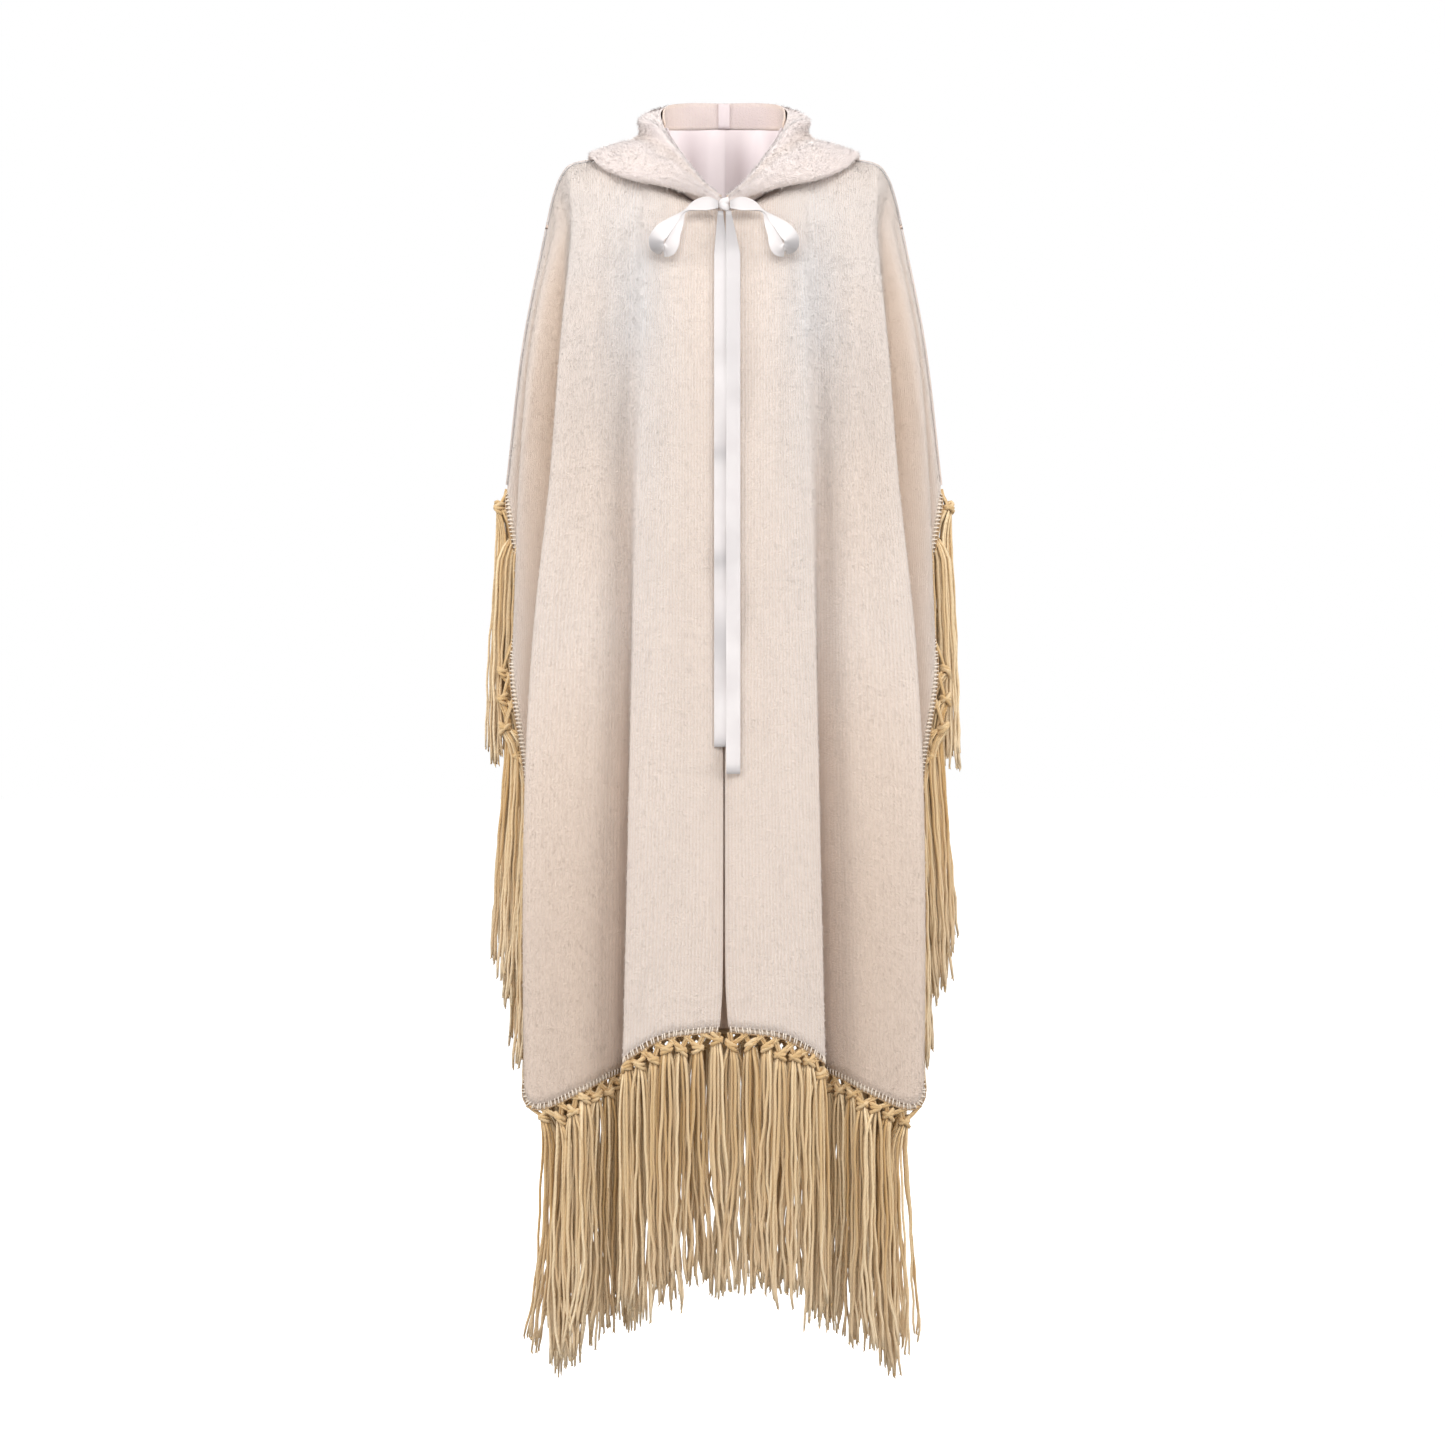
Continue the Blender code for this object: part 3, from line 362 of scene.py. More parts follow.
def front_panel(across_times, down_times):
    """The outer face of the right front, rows from the top down, centre edge first."""
    shares = finer(CLOTH_ROWS, down_times)
    lines = [fold_line(fold, -1, shares) for fold in FRONT_FOLDS]
    grid = spread_cloth(lines, strips_between(FRONT_FOLDS, across_times))
    grid[:, -1, 1] = -SEAM_GAP / 2
    on_shoulder = grid[0, :, 1] > -SEAM_GAP
    grid[0, on_shoulder, 1] = -SEAM_GAP / 2
    grid[:, 0, 0] = np.maximum(grid[:, 0, 0], CENTRE_SLIT)
    return grid


def mirrored(points):
    """The same points on the other side of the poncho."""
    return np.asarray(points) * np.array([-1.0, 1.0, 1.0])


def normals(grid):
    """Unit normals of a grid of points, from its rows and columns."""
    return unit(np.cross(np.gradient(grid, axis=0), np.gradient(grid, axis=1)))


def outward(grid):
    """Unit normals of a grid, turned away from the middle of the poncho."""
    faces_out = normals(grid)
    middle = np.array([0.0, 0.0, grid[:, :, 2].mean()])
    return faces_out * np.sign(np.sum(faces_out * (grid - middle), axis=2).sum())


def at_folds(grid, strips, values):
    """Values given at each fold, read at each column of a panel."""
    marks = np.concatenate([[0], np.cumsum(strips)])
    return np.interp(np.arange(grid.shape[1]), marks, values)


def fading(share, times):
    """The strength of a crease along its run: nothing at its ends and full between them."""
    fade = np.clip(share * times, 0, 1) * np.clip((1 - share) * times, 0, 1)
    return fade * fade * (3 - 2 * fade)


def crease(grid, strips, creases):
    """Raise and sink soft creases in a panel, each fading out at its ends."""
    fold_of_column = at_folds(grid, strips, np.arange(len(strips) + 1))
    steps = np.linalg.norm(np.diff(grid, axis=1), axis=2)
    across = np.concatenate([np.zeros((len(grid), 1)), np.cumsum(steps, axis=1)], axis=1)
    height = grid[:, :, 2]
    lift = np.zeros(height.shape)
    for start_fold, start, end_fold, end, half_width, depth in creases:
        share = (height - start) / (end - start)
        fold = start_fold + (end_fold - start_fold) * share
        line = np.array([np.interp(at, fold_of_column, run) for at, run in zip(fold, across)])
        lift += depth * fading(share, 4) * np.exp(-((across - line) / half_width) ** 2)
    return grid + outward(grid) * lift[:, :, None]


def fold_shade_amounts(grid, strips, depths):
    """How much painted shade each point of a panel gets from its fold, more towards the hem."""
    across = at_folds(grid, strips, depths)
    return across[None, :] * np.interp(grid[:, :, 2], SHADE_HEIGHTS, SHADE_GROWTH)


def panel_inset(grid):
    """The way into a panel's thickness, square to its seams and to the front opening."""
    inset = -outward(grid)
    rows, columns = grid.shape[:2]
    if abs(grid[0, 0, 0]) < 10 * CENTRE_SLIT:
        inset[:, 0, 0] = 0.0
    for corner in (0, columns - 1):
        if abs(grid[-1, corner, 1]) > SEAM_GAP:
            continue
        inner = range(corner, columns) if corner == 0 else range(corner, -1, -1)
        top = [(0, column) for column in inner if abs(grid[0, column, 1]) < SEAM_GAP]
        chain = top[::-1] + [(row, corner) for row in range(1, rows)]
        points = np.array([grid[place] for place in chain])
        along = np.gradient(points, axis=0)
        square = np.column_stack([along[:, 2], np.zeros(len(chain)), -along[:, 0]])
        for place, way in zip(chain, square * np.sign(points[0, 0])):
            inset[place] = way
    return unit(inset)


def cloth_measure(grid):
    """Metres across and down the cloth at each point, for its ribs and weave."""
    over = np.linalg.norm(np.diff(grid, axis=1), axis=2).mean(axis=0)
    down = np.linalg.norm(np.diff(grid, axis=0), axis=2).mean(axis=1)
    over = np.concatenate([[0.0], np.cumsum(over)])
    down = np.concatenate([[0.0], np.cumsum(down)])
    return np.stack(np.broadcast_arrays(over[None, :], down[:, None]), axis=2)


def new_piece(name, corners, faces, finish, slot, measure, **layers):
    """One piece of the poncho. Its measure, in metres on the flat cloth, is given for each
    point or for each corner of each face, and any other named values for each point."""
    mesh = bpy.data.meshes.new(name)
    mesh.from_pydata(np.asarray(corners).tolist(), [], faces)
    mesh.shade_smooth()
    if len(measure) == len(corners):
        measure = measure[[point for face in faces for point in face]]
    layer = mesh.uv_layers.new(name="cloth")
    layer.uv.foreach_set("vector", np.asarray(measure, np.float32).ravel())
    for label, values in layers.items():
        mesh.attributes.new(label, "FLOAT", "POINT").data.foreach_set(
            "value", np.asarray(values, np.float32).ravel())
    mesh.materials.append(finish)
    piece = new_object(name, mesh)
    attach(piece, "root")
    return piece


def quads(index, closed=True):
    """Faces between the rows of a grid of point numbers, whose last column may join its first."""
    ahead = np.roll(index, -1, axis=-1)
    if not closed:
        index, ahead = index[..., :-1], ahead[..., :-1]
    return np.stack([index[..., :-1, :], ahead[..., :-1, :], ahead[..., 1:, :],
                     index[..., 1:, :]], axis=-1).reshape(-1, 4)


def inner_of(rim, rows, columns):
    """The point one step in from each point of a panel's rim."""
    row, column = rim // columns, rim % columns
    return np.clip(row, 1, rows - 2) * columns + np.clip(column, 1, columns - 2)


def cloth_wall(name, grid, inset, thickness, finish, slot, **layers):
    """A wall of cloth: the outer face and one set in from it, with a rounded edge all round."""
    rows, columns = grid.shape[:2]
    size = rows * columns
    index = np.arange(size).reshape(rows, columns)
    face = quads(index, closed=False)
    faced_in = np.cross(grid[0, 1] - grid[0, 0], grid[1, 0] - grid[0, 0])
    turned = np.dot(faced_in, inset[0, 0]) > 0
    if turned:
        face = face[:, ::-1]
    # One slightly swollen ring closes the edge roundly
    rim = np.concatenate([index[0], index[1:, -1], index[-1, -2::-1], index[-2:0:-1, 0]])
    ahead = np.roll(rim, -1)
    middle = (grid + inset * thickness / 2).reshape(-1, 3)
    swell = unit(middle[rim] - middle[inner_of(rim, rows, columns)])
    ring = middle[rim] + swell * thickness * EDGE_ROUND
    corners = np.concatenate([grid.reshape(-1, 3), (grid + inset * thickness).reshape(-1, 3), ring])
    mid = 2 * size + np.arange(len(rim))
    mid_ahead = np.roll(mid, -1)
    upper = np.stack([ahead, rim, mid, mid_ahead], axis=1)
    lower = np.stack([mid_ahead, mid, rim + size, ahead + size], axis=1)
    if turned:
        upper, lower = upper[:, ::-1], lower[:, ::-1]
    faces = np.concatenate([face, face[:, ::-1] + size, upper, lower]).tolist()
    both = np.concatenate([index.ravel(), index.ravel(), rim])
    layers = {label: values.ravel()[both] for label, values in layers.items()}
    # The inner faces are marked for their painted warm shade
    layers["inside"] = np.repeat([0.0, 1.0, 0.0], [size, size, len(rim)])
    measure = cloth_measure(grid).reshape(-1, 2)[both]
    return new_piece(name, corners, faces, finish, slot, measure, **layers)


def pile(name, grid, out, blades, lean, finish, seed, thin, turn_at=0.0, longer=1.0, **layers):
    """Short blades of brushed pile, scattered over a face of cloth and leaning down it."""
    draw = np.random.default_rng(seed)
    side = grid[:-1, 1:] - grid[:-1, :-1]
    down = grid[1:, :-1] - grid[:-1, :-1]
    area = np.linalg.norm(np.cross(side, down), axis=2) * thin[:-1, :-1]
    row, column = np.divmod(draw.choice(area.size, blades, p=(area / area.sum()).ravel()),
                            area.shape[1])
    over, under = draw.random((2, blades, 1))
    spot = (grid[row, column] * (1 - over) * (1 - under) + grid[row, column + 1] * over * (1 - under)
            + grid[row + 1, column] * (1 - over) * under + grid[row + 1, column + 1] * over * under)
    up = out[row, column]
    fall = down[row, column] / np.linalg.norm(down[row, column], axis=1, keepdims=True)
    way = unit(up + fall * lean + draw.normal(0, PILE_STRAY, (blades, 3)))
    wide = unit(np.cross(way, up + draw.normal(0, PILE_TWIST, (blades, 3))))
    # A blade shows its face to the front or to the back, whichever its cloth is nearer to
    seen = (up * PILE_FACE_UP
            + np.array(PILE_FACE) * np.where(spot[:, 1:2] < turn_at, -1.0, 1.0))
    wide *= np.sign(np.sum(np.cross(way, wide) * seen, axis=1, keepdims=True))
    tall = draw.choice(PILE_LENGTHS, (blades, 1), p=PILE_LENGTH_SHARES)
    tall = PILE_LENGTH * longer * tall
    half = PILE_WIDTH / 2 * draw.uniform(*PILE_WIDTHS, (blades, 1))
    root = spot - up * PILE_ROOT
    corners = np.stack([root + wide * half, root - wide * half, root + way * tall], axis=1)
    layers = {label: np.repeat(values[row, column], 3) for label, values in layers.items()}
    piece = new_piece(name, corners.reshape(-1, 3), np.arange(3 * blades).reshape(-1, 3).tolist(),
                      finish, "plush_knit", np.repeat(cloth_measure(grid)[row, column], 3, axis=0),
                      **layers)
    # Each blade takes the light nearly as the cloth beneath it does, but never goes dark at a rim
    facing_way = unit(up + seen * PILE_LIT + draw.normal(0, PILE_LIT_SPREAD, (blades, 3)))
    piece.data.normals_split_custom_set_from_vertices(np.repeat(facing_way, 3, axis=0).tolist())
    return piece


def new_finish(name, roughness, sheen, sheen_tint, specular=0.2, anisotropic=0.0):
    """A cloth finish with its plain shader values, and the places of its points on the cloth."""
    finish = bpy.data.materials.new(name)
    finish.use_nodes = True
    tree = finish.node_tree
    for label, value in (("Roughness", roughness), ("Sheen Weight", sheen),
                         ("Sheen Roughness", 0.45), ("Sheen Tint", (*sheen_tint, 1.0)),
                         ("Specular IOR Level", specular), ("Anisotropic", anisotropic)):
        tree.nodes["Principled BSDF"].inputs[label].default_value = value
    return finish, tree, add_node(tree, "ShaderNodeUVMap", uv_map="cloth").outputs["UV"]


def surfaced(finish, body, raised=None):
    """The finish, with its colour and its raised surface joined to its shader."""
    tree = finish.node_tree
    shader = tree.nodes["Principled BSDF"]
    tree.links.new(body, shader.inputs["Base Color"])
    if raised is not None:
        tree.links.new(raised, shader.inputs["Normal"])
    return finish


def point_value(tree, label):
    """A named value of the piece's points."""
    return add_node(tree, "ShaderNodeAttribute", attribute_name=label).outputs["Fac"]


def texture(tree, kind, cloth, **settings):
    """A wave or noise texture laid on the flat cloth."""
    node = add_node(tree, "ShaderNodeTex" + kind, **settings)
    tree.links.new(cloth, node.inputs["Vector"])
    return node.outputs["Fac"]


def blend_colours(tree, amount, first, second):
    """Two colours mixed by the output of another node."""
    mix = tree.nodes.new("ShaderNodeMix")
    mix.data_type = "RGBA"
    for socket, value in ((mix.inputs[6], first), (mix.inputs[7], second)):
        if isinstance(value, tuple):
            socket.default_value = (*value, 1.0)
        else:
            tree.links.new(value, socket)
    tree.links.new(amount, mix.inputs[0])
    return mix.outputs[2]


def bumped(tree, height, strength, distance, over=None):
    """A surface raised by a height, over one that is raised already where that is given."""
    bump = add_node(tree, "ShaderNodeBump", strength=strength, distance=distance)
    tree.links.new(height, bump.inputs["Height"])
    if over is not None:
        tree.links.new(over, bump.inputs["Normal"])
    return bump.outputs["Normal"]


def painted_fold_shade(tree, body, nap, bare, colours):
    """A body colour with painted light in the folds: a painted warm glow where they are shallow, then
    painted shade, brown on bare knit and grey in nap.
    """
    lit_glow, brown, grey = colours
    fold = point_value(tree, "fold")
    amount = calculated(tree, "MULTIPLY", bare, ranged(tree, fold, 0.0, 0.3, 0.0, 0.65))
    body = blend_colours(tree, amount, body, lit_glow)
    deep = blend_colours(tree, nap, brown, grey)
    return blend_colours(tree, ranged(tree, fold, 0.2, 1.0, 0.0, 0.9), body, deep)


def plush_finish(name, thin, thick, ribbed=0.55):
    """Rib knit under a brushed nap, its colours where the nap is thin and where it is thick."""
    finish, tree, cloth = new_finish(name, 0.92, 0.60, (1.0, 0.97, 0.95))
    nap = point_value(tree, "nap")
    bare = ranged(tree, nap, 0.0, 1.0, 1.0, 0.3)
    ribs = texture(tree, "Wave", cloth, scale=76.0, distortion=2.2, detail=1.5, detail_scale=30.0)
    curls = texture(tree, "Noise", cloth, scale=520.0, detail=2.0, roughness=0.6)
    clouds = texture(tree, "Noise", cloth, scale=9.0, detail=3.0, roughness=0.55)
    lumps = texture(tree, "Noise", cloth, scale=230.0, detail=2.0, roughness=0.5)
    body = blend_colours(tree, nap, thin, thick)
    body = blend_colours(tree, ranged(tree, clouds, 0.35, 0.65, 0.0, 0.35), body, CLOUD_CREAM)
    body = painted_fold_shade(tree, body, nap, bare, KNIT_FOLD_SHADE)
    speck = calculated(tree, "MULTIPLY", bare, ranged(tree, curls, 0.36, 0.52, 0.36, 0.0))
    body = blend_colours(tree, speck, body, SPECK_BROWN)
    # Painted shade: brown in the rib grooves, less where the nap is thick
    groove = calculated(tree, "MULTIPLY", bare, ranged(tree, ribs, 0.0, 0.6, ribbed, 0.0))
    body = blend_colours(tree, groove, body, RIB_SHADE_BROWN)
    # Painted shade on the inner faces
    body = blend_colours(tree, point_value(tree, "inside"), body, INSIDE_SHADE_PEACH)
    raised = bumped(tree, ribs, ribbed, 0.0008)
    raised = bumped(tree, curls, 0.75, 0.0014, raised)
    return surfaced(finish, body, bumped(tree, lumps, 0.22, 0.0022, raised))


def pile_finish(name, thin, thick):
    """The tufts of the nap, a shade lighter than the ground they grow from."""
    finish, tree, cloth = new_finish(name, 0.95, 0.70, (1.0, 0.98, 0.96))
    nap = point_value(tree, "nap")
    bare = ranged(tree, nap, 0.0, 1.0, 1.0, 0.3)
    clouds = texture(tree, "Noise", cloth, scale=60.0, detail=4.0, roughness=0.6)
    body = blend_colours(tree, nap, thin, thick)
    body = blend_colours(tree, ranged(tree, clouds, 0.40, 0.62, 0.0, 0.5), body, TUFT_CREAM)
    return surfaced(finish, painted_fold_shade(tree, body, nap, bare, TUFT_FOLD_SHADE))


plush = plush_finish("plush_knit", (0.812, 0.700, 0.628), (0.692, 0.695, 0.712))
plush_pile = pile_finish("plush_pile", (0.830, 0.727, 0.662), (0.718, 0.721, 0.740))
front_strips = strips_between(FRONT_FOLDS, FRONT_FINENESS[0])
front = crease(front_panel(*FRONT_FINENESS), front_strips, FRONT_CREASES)
front[:, -1, 1] = -SEAM_GAP / 2
closing = np.interp(-front[:, 0, 2], CLOSING_DROPS, CLOSING)
front[:, :len(CLOSING_SHARES), 0] -= closing[:, None] * np.array(CLOSING_SHARES)
front[:, 0, 0] = np.maximum(front[:, 0, 0], CENTRE_SLIT)
front_nap = (at_folds(front, front_strips, FRONT_NAPS)[None, :]
             * np.interp(-front[:, :, 2], NAP_DROPS, NAP_GROWTH))
# Painted shade in the folds of the fronts, darker towards the hem
front_fold_shade = fold_shade_amounts(front, front_strips, FRONT_FOLD_SHADE)
for side, placed, seed in (("right", np.array, 11), ("left", mirrored, 12)):
    panel = placed(front)
    knit = cloth_wall("front_" + side + "_knit", panel, panel_inset(panel), KNIT, plush,
                      "plush_knit", nap=front_nap, fold=front_fold_shade)
    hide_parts("front_" + side)
    nap = pile("front_" + side + "_pile", panel, outward(panel), FRONT_BLADES, PILE_LEAN,
               plush_pile, seed, PILE_LEAST + (1 - PILE_LEAST) * front_nap, nap=front_nap,
               fold=front_fold_shade)

# --- Back: one wide panel of the same knit, from arm seam to arm seam, joined to the fronts
# along the shoulders. It hangs in the same kind of folds, a little shallower.
BACK_FOLDS = (
    ("centre back", 0.00, -1.088, 2,
     (0.0000, 0.092), (0.0000, 0.102), (0.0000, 0.099), (0.0000, 0.099), (0.0000, 0.101),
     (0.0000, 0.104), (0.0000, 0.108)),
    ("crest K", 0.45, -1.092, 2,
     (0.0440, 0.094), (0.0480, 0.108), (0.0500, 0.112), (0.0530, 0.117), (0.0560, 0.122),
     (0.0600, 0.127), (0.0640, 0.132)),
    ("edge K", 0.80, -1.100, 2,
     (0.0760, 0.090), (0.0800, 0.104), (0.0830, 0.106), (0.0870, 0.109), (0.0910, 0.112),
     (0.0950, 0.115), (0.0990, 0.118)),
    ("valley KL", 1.05, -1.110, 2,
     (0.0960, 0.086), (0.1000, 0.098), (0.1020, 0.095), (0.1040, 0.093), (0.1060, 0.092),
     (0.1090, 0.093), (0.1130, 0.096)),
    ("crest L", 1.33, -1.132, 3,
     (0.1420, 0.077), (0.1500, 0.095), (0.1560, 0.104), (0.1600, 0.110), (0.1630, 0.115),
     (0.1660, 0.119), (0.1680, 0.123)),
    ("edge L", 1.56, -1.155, 3,
     (0.1800, 0.052), (0.1915, 0.071), (0.2030, 0.081), (0.2180, 0.087), (0.2255, 0.091),
     (0.2280, 0.095), (0.2270, 0.098)),
    ("return L", 1.66, -1.000, 3,
     (0.1835, 0.042), (0.1900, 0.056), (0.2000, 0.060), (0.2140, 0.063), (0.2210, 0.066),
     (0.2250, 0.072), (0.2250, 0.080)),
    ("valley LM", 1.75, -0.790, 2,
     (0.1880, 0.032), (0.1960, 0.041), (0.2060, 0.041), (0.2160, 0.044), (0.2230, 0.052)),
    ("crest M", 1.84, -0.630, 2,
     (0.2010, 0.022), (0.2260, 0.030), (0.2430, 0.036), (0.2480, 0.041)),
    ("valley MN", 1.90, -0.500, 2,
     (0.2055, 0.013), (0.2300, 0.019), (0.2430, 0.022)),
    ("lip N", 1.95, -0.437, 2,
     (0.2090, 0.008), (0.2350, 0.011), (0.2575, 0.014)),
    ("arm seam", 2.00, -0.428, 0,
     (0.2115, 0.0), (0.2375, 0.0), (0.2592, 0.0)),
)
BACK_FINENESS = (2, 8)
# Fold numbers run from the right arm seam (0) over the centre back (11) to the left one (22)
BACK_CREASES = (
    (10.3, -0.240, 10.6, -1.060, 0.016, 0.0030), (11.6, -0.260, 11.3, -0.820, 0.015, -0.0028),
    (9.4, -0.200, 9.7, -0.760, 0.014, -0.0024), (12.6, -0.220, 12.8, -1.080, 0.015, 0.0026),
    (8.4, -0.320, 8.2, -1.080, 0.013, 0.0022), (13.7, -0.300, 13.5, -0.900, 0.014, -0.0022),
    (7.3, -0.120, 7.6, -0.620, 0.014, -0.0026), (14.7, -0.120, 14.4, -0.700, 0.014, -0.0026),
    (6.6, -0.420, 6.4, -1.100, 0.012, 0.0020), (15.4, -0.360, 15.5, -1.120, 0.012, 0.0020),
    (5.4, -0.110, 5.5, -0.420, 0.010, -0.0016), (16.6, -0.110, 16.5, -0.400, 0.010, -0.0016),
)
# Painted shade in each fold of the back, as on the fronts
BACK_FOLD_SHADE = (0.30, 0.0, 0.15, 0.42, 0.05, 0.05, 0.20, 0.38, 0.06, 0.25, 0.10, 0.10)
BACK_NAP_DROPS = (0.05, 0.40, 0.75, 1.10)
BACK_NAPS = (0.9, 0.7, 0.5, 0.55)
BACK_BLADES = 50000


def back_panel(across_times, down_times):
    """The outer face of the whole back, from the right arm seam to the left one."""
    shares = finer(CLOTH_ROWS, down_times)
    lines = [fold_line(fold, 1, shares) for fold in BACK_FOLDS]
    strips = strips_between(BACK_FOLDS, across_times)
    whole = lines[:0:-1] + [mirrored(line) for line in lines]
    grid = spread_cloth(whole, strips[::-1] + strips)
    grid[:, [0, -1], 1] = SEAM_GAP / 2
    on_shoulder = grid[0, :, 1] < SEAM_GAP
    grid[0, on_shoulder, 1] = SEAM_GAP / 2
    return grid


back_half = strips_between(BACK_FOLDS, BACK_FINENESS[0])
back_strips = back_half[::-1] + back_half
back = crease(back_panel(*BACK_FINENESS), back_strips, BACK_CREASES)
back[:, [0, -1], 1] = SEAM_GAP / 2
back_nap = np.interp(-back[:, :, 2], BACK_NAP_DROPS, BACK_NAPS)
# Painted shade in the folds of the back, darker towards the hem
back_fold_shade = fold_shade_amounts(back, back_strips, BACK_FOLD_SHADE[:0:-1] + BACK_FOLD_SHADE)
back_knit = cloth_wall("back_knit", back, panel_inset(back), KNIT, plush, "plush_knit",
                       nap=back_nap, fold=back_fold_shade)
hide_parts("back")
back_pile = pile("back_pile", back, outward(back), BACK_BLADES, PILE_LEAN, plush_pile, 13,
                 PILE_LEAST + (1 - PILE_LEAST) * back_nap, nap=back_nap, fold=back_fold_shade)

# --- Hood: a shaped piece of the same knit, sewn into the neck seam and folded back. It lies in
# two rolls round the neck with a groove between them, and its pouch hangs behind.
HOOD_KNIT = 0.0024
# How far the hood clears the neck seam, and the shares of that sideways, ahead and upwards
HOOD_CLEARANCE = 0.0038
HOOD_CLEARANCE_SHARES = (0.5, 0.8, 0.6)
HOOD_LIFT = 0.0110
HOOD_STAND_OFF = 0.0030
# Each row: angle round the neck, then face edge, upper roll, groove, lower roll, tip, underside
HOOD_STATIONS = (
    (2, (0.0025, -0.0850, -0.0945), (0.0027, -0.0885, -0.0925), (0.0030, -0.0920, -0.0935),
     (0.0034, -0.0955, -0.0965), (0.0040, -0.0970, -0.1015), (0.0040, -0.0950, -0.1050)),
    (22, (0.0200, -0.0800, -0.0790), (0.0235, -0.0875, -0.0755), (0.0265, -0.0925, -0.0765),
     (0.0310, -0.0985, -0.0800), (0.0350, -0.1000, -0.0870), (0.0340, -0.0965, -0.0930)),
    (38, (0.0403, -0.0660, -0.0531), (0.0465, -0.0740, -0.0470), (0.0510, -0.0800, -0.0485),
     (0.0640, -0.0920, -0.0580), (0.0750, -0.0965, -0.0740), (0.0720, -0.0920, -0.0820)),
    (52, (0.0523, -0.0500, -0.0356), (0.0610, -0.0590, -0.0280), (0.0660, -0.0650, -0.0360),
     (0.0880, -0.0790, -0.0470), (0.1100, -0.0860, -0.0650), (0.1060, -0.0820, -0.0740)),
    (68, (0.0669, -0.0200, -0.0112), (0.0830, -0.0300, -0.0010), (0.0860, -0.0350, -0.0190),
     (0.1120, -0.0480, -0.0270), (0.1427, -0.0530, -0.0490), (0.1380, -0.0500, -0.0570)),
    (92, (0.0761, 0.0250, 0.0164), (0.1015, 0.0180, 0.0130), (0.1020, 0.0120, -0.0080),
     (0.1285, 0.0040, -0.0190), (0.1605, -0.0040, -0.0325), (0.1550, -0.0020, -0.0378)),
    (112, (0.0741, 0.0600, 0.0328), (0.0880, 0.0690, 0.0275), (0.0985, 0.0740, -0.0020),
     (0.1240, 0.0790, -0.0340), (0.1450, 0.0800, -0.0800), (0.1400, 0.0760, -0.0900)),
    (145, (0.0500, 0.0900, 0.0425), (0.0610, 0.1080, 0.0300), (0.0670, 0.1200, -0.0050),
     (0.0880, 0.1390, -0.0850), (0.0990, 0.1345, -0.1740), (0.0930, 0.1190, -0.1830)),
    (180, (0.0000, 0.1000, 0.0436), (0.0000, 0.1190, 0.0300), (0.0000, 0.1340, -0.0100),
     (0.0000, 0.1600, -0.1000), (0.0000, 0.1520, -0.2160), (0.0000, 0.1340, -0.2230)),
)
HOOD_STEPS = 9
HOOD_STRIPS = 8
# Soft creases: column and row of the stations where each starts and ends, half its width in
# stations, and how far it stands out
HOOD_CREASES = (
    (4.2, 2.1, 6.2, 3.6, 0.30, -0.0020), (11.8, 2.1, 9.9, 3.6, 0.30, -0.0020),
    (3.2, 0.7, 5.4, 1.2, 0.22, 0.0014), (12.7, 0.7, 10.6, 1.2, 0.22, 0.0014),
    (7.3, 2.2, 7.6, 4.2, 0.28, -0.0034), (8.7, 2.0, 8.3, 4.4, 0.26, -0.0030),
    (6.6, 2.4, 7.0, 4.4, 0.30, 0.0026), (9.4, 2.4, 9.0, 4.3, 0.30, 0.0024),
)
# By station row: the nap, and the painted shade in the groove and in the hollow under the lower roll
HOOD_NAP = ((0, 1.6, 2.2, 3.0), (1.0, 1.0, 0.6, 0.35))
HOOD_GROOVE_SHADE = ((0, 1.3, 2.0, 2.7, 4.2, 5.0, 6.0), (0.0, 0.0, 0.26, 0.0, 0.06, 0.22, 0.25))
# The groove's painted shade is darkest beside the shoulders: row and column stations, half lengths
# and depth
HOOD_SHADE_POCKETS = ((2.1, 4.9, 0.35, 0.45, 0.30), (2.1, 11.1, 0.35, 0.45, 0.30))
HOOD_BLADES = 77000
HOOD_PILE_LEAN = 0.7
HOOD_PILE_LONGER = 1.3
HOOD_PILE_TURN = 0.045
HOOD_PILE_SPREAD = ((4.4, 5.2, 7.0), (1.0, 0.3, 0.05))


def hood_shell(strips, steps):
    """The outer face of the hood, rows from its face edge to the neck seam."""
    meridians = []
    for degrees, *points in HOOD_STATIONS:
        angle = math.radians(degrees)
        out = np.array([math.sin(angle), -math.cos(angle), 1.0])
        seam = neckline(degrees) + HOOD_CLEARANCE * (out * HOOD_CLEARANCE_SHARES)
        middle = (np.array(points[-1]) + seam) / 2
        middle[1] += HOOD_STAND_OFF * max(0.0, -math.cos(angle))
        middle[2] += HOOD_LIFT
        meridians.append(np.vstack([points, middle, seam]))
    meridians = meridians[:-1] + [mirrored(line) for line in meridians[::-1]]
    knots = np.arange(len(meridians[0]))
    rows = np.linspace(0, knots[-1], knots[-1] * steps + 1)
    lines = np.array([spline(knots, line, rows) for line in meridians])
    stations = np.arange(len(lines))
    places = np.linspace(0, stations[-1], stations[-1] * strips + 1)
    return np.stack([spline(stations, lines[:, row], places) for row in range(len(rows))])


def crease_hood(grid):
    """Raise and sink the hood's creases, each along a line from station to station."""
    lift = np.zeros(grid.shape[:2])
    for column_start, row_start, column_end, row_end, half_width, depth in HOOD_CREASES:
        along = np.array([column_end - column_start, row_end - row_start])
        length = np.linalg.norm(along)
        along /= length
        share = ((hood_column - column_start) * along[0] + (hood_row - row_start) * along[1]) / length
        away = (hood_column - column_start) * along[1] - (hood_row - row_start) * along[0]
        lift += depth * fading(share, 3) * np.exp(-(away / half_width) ** 2)
    return grid + normals(grid) * lift[:, :, None]


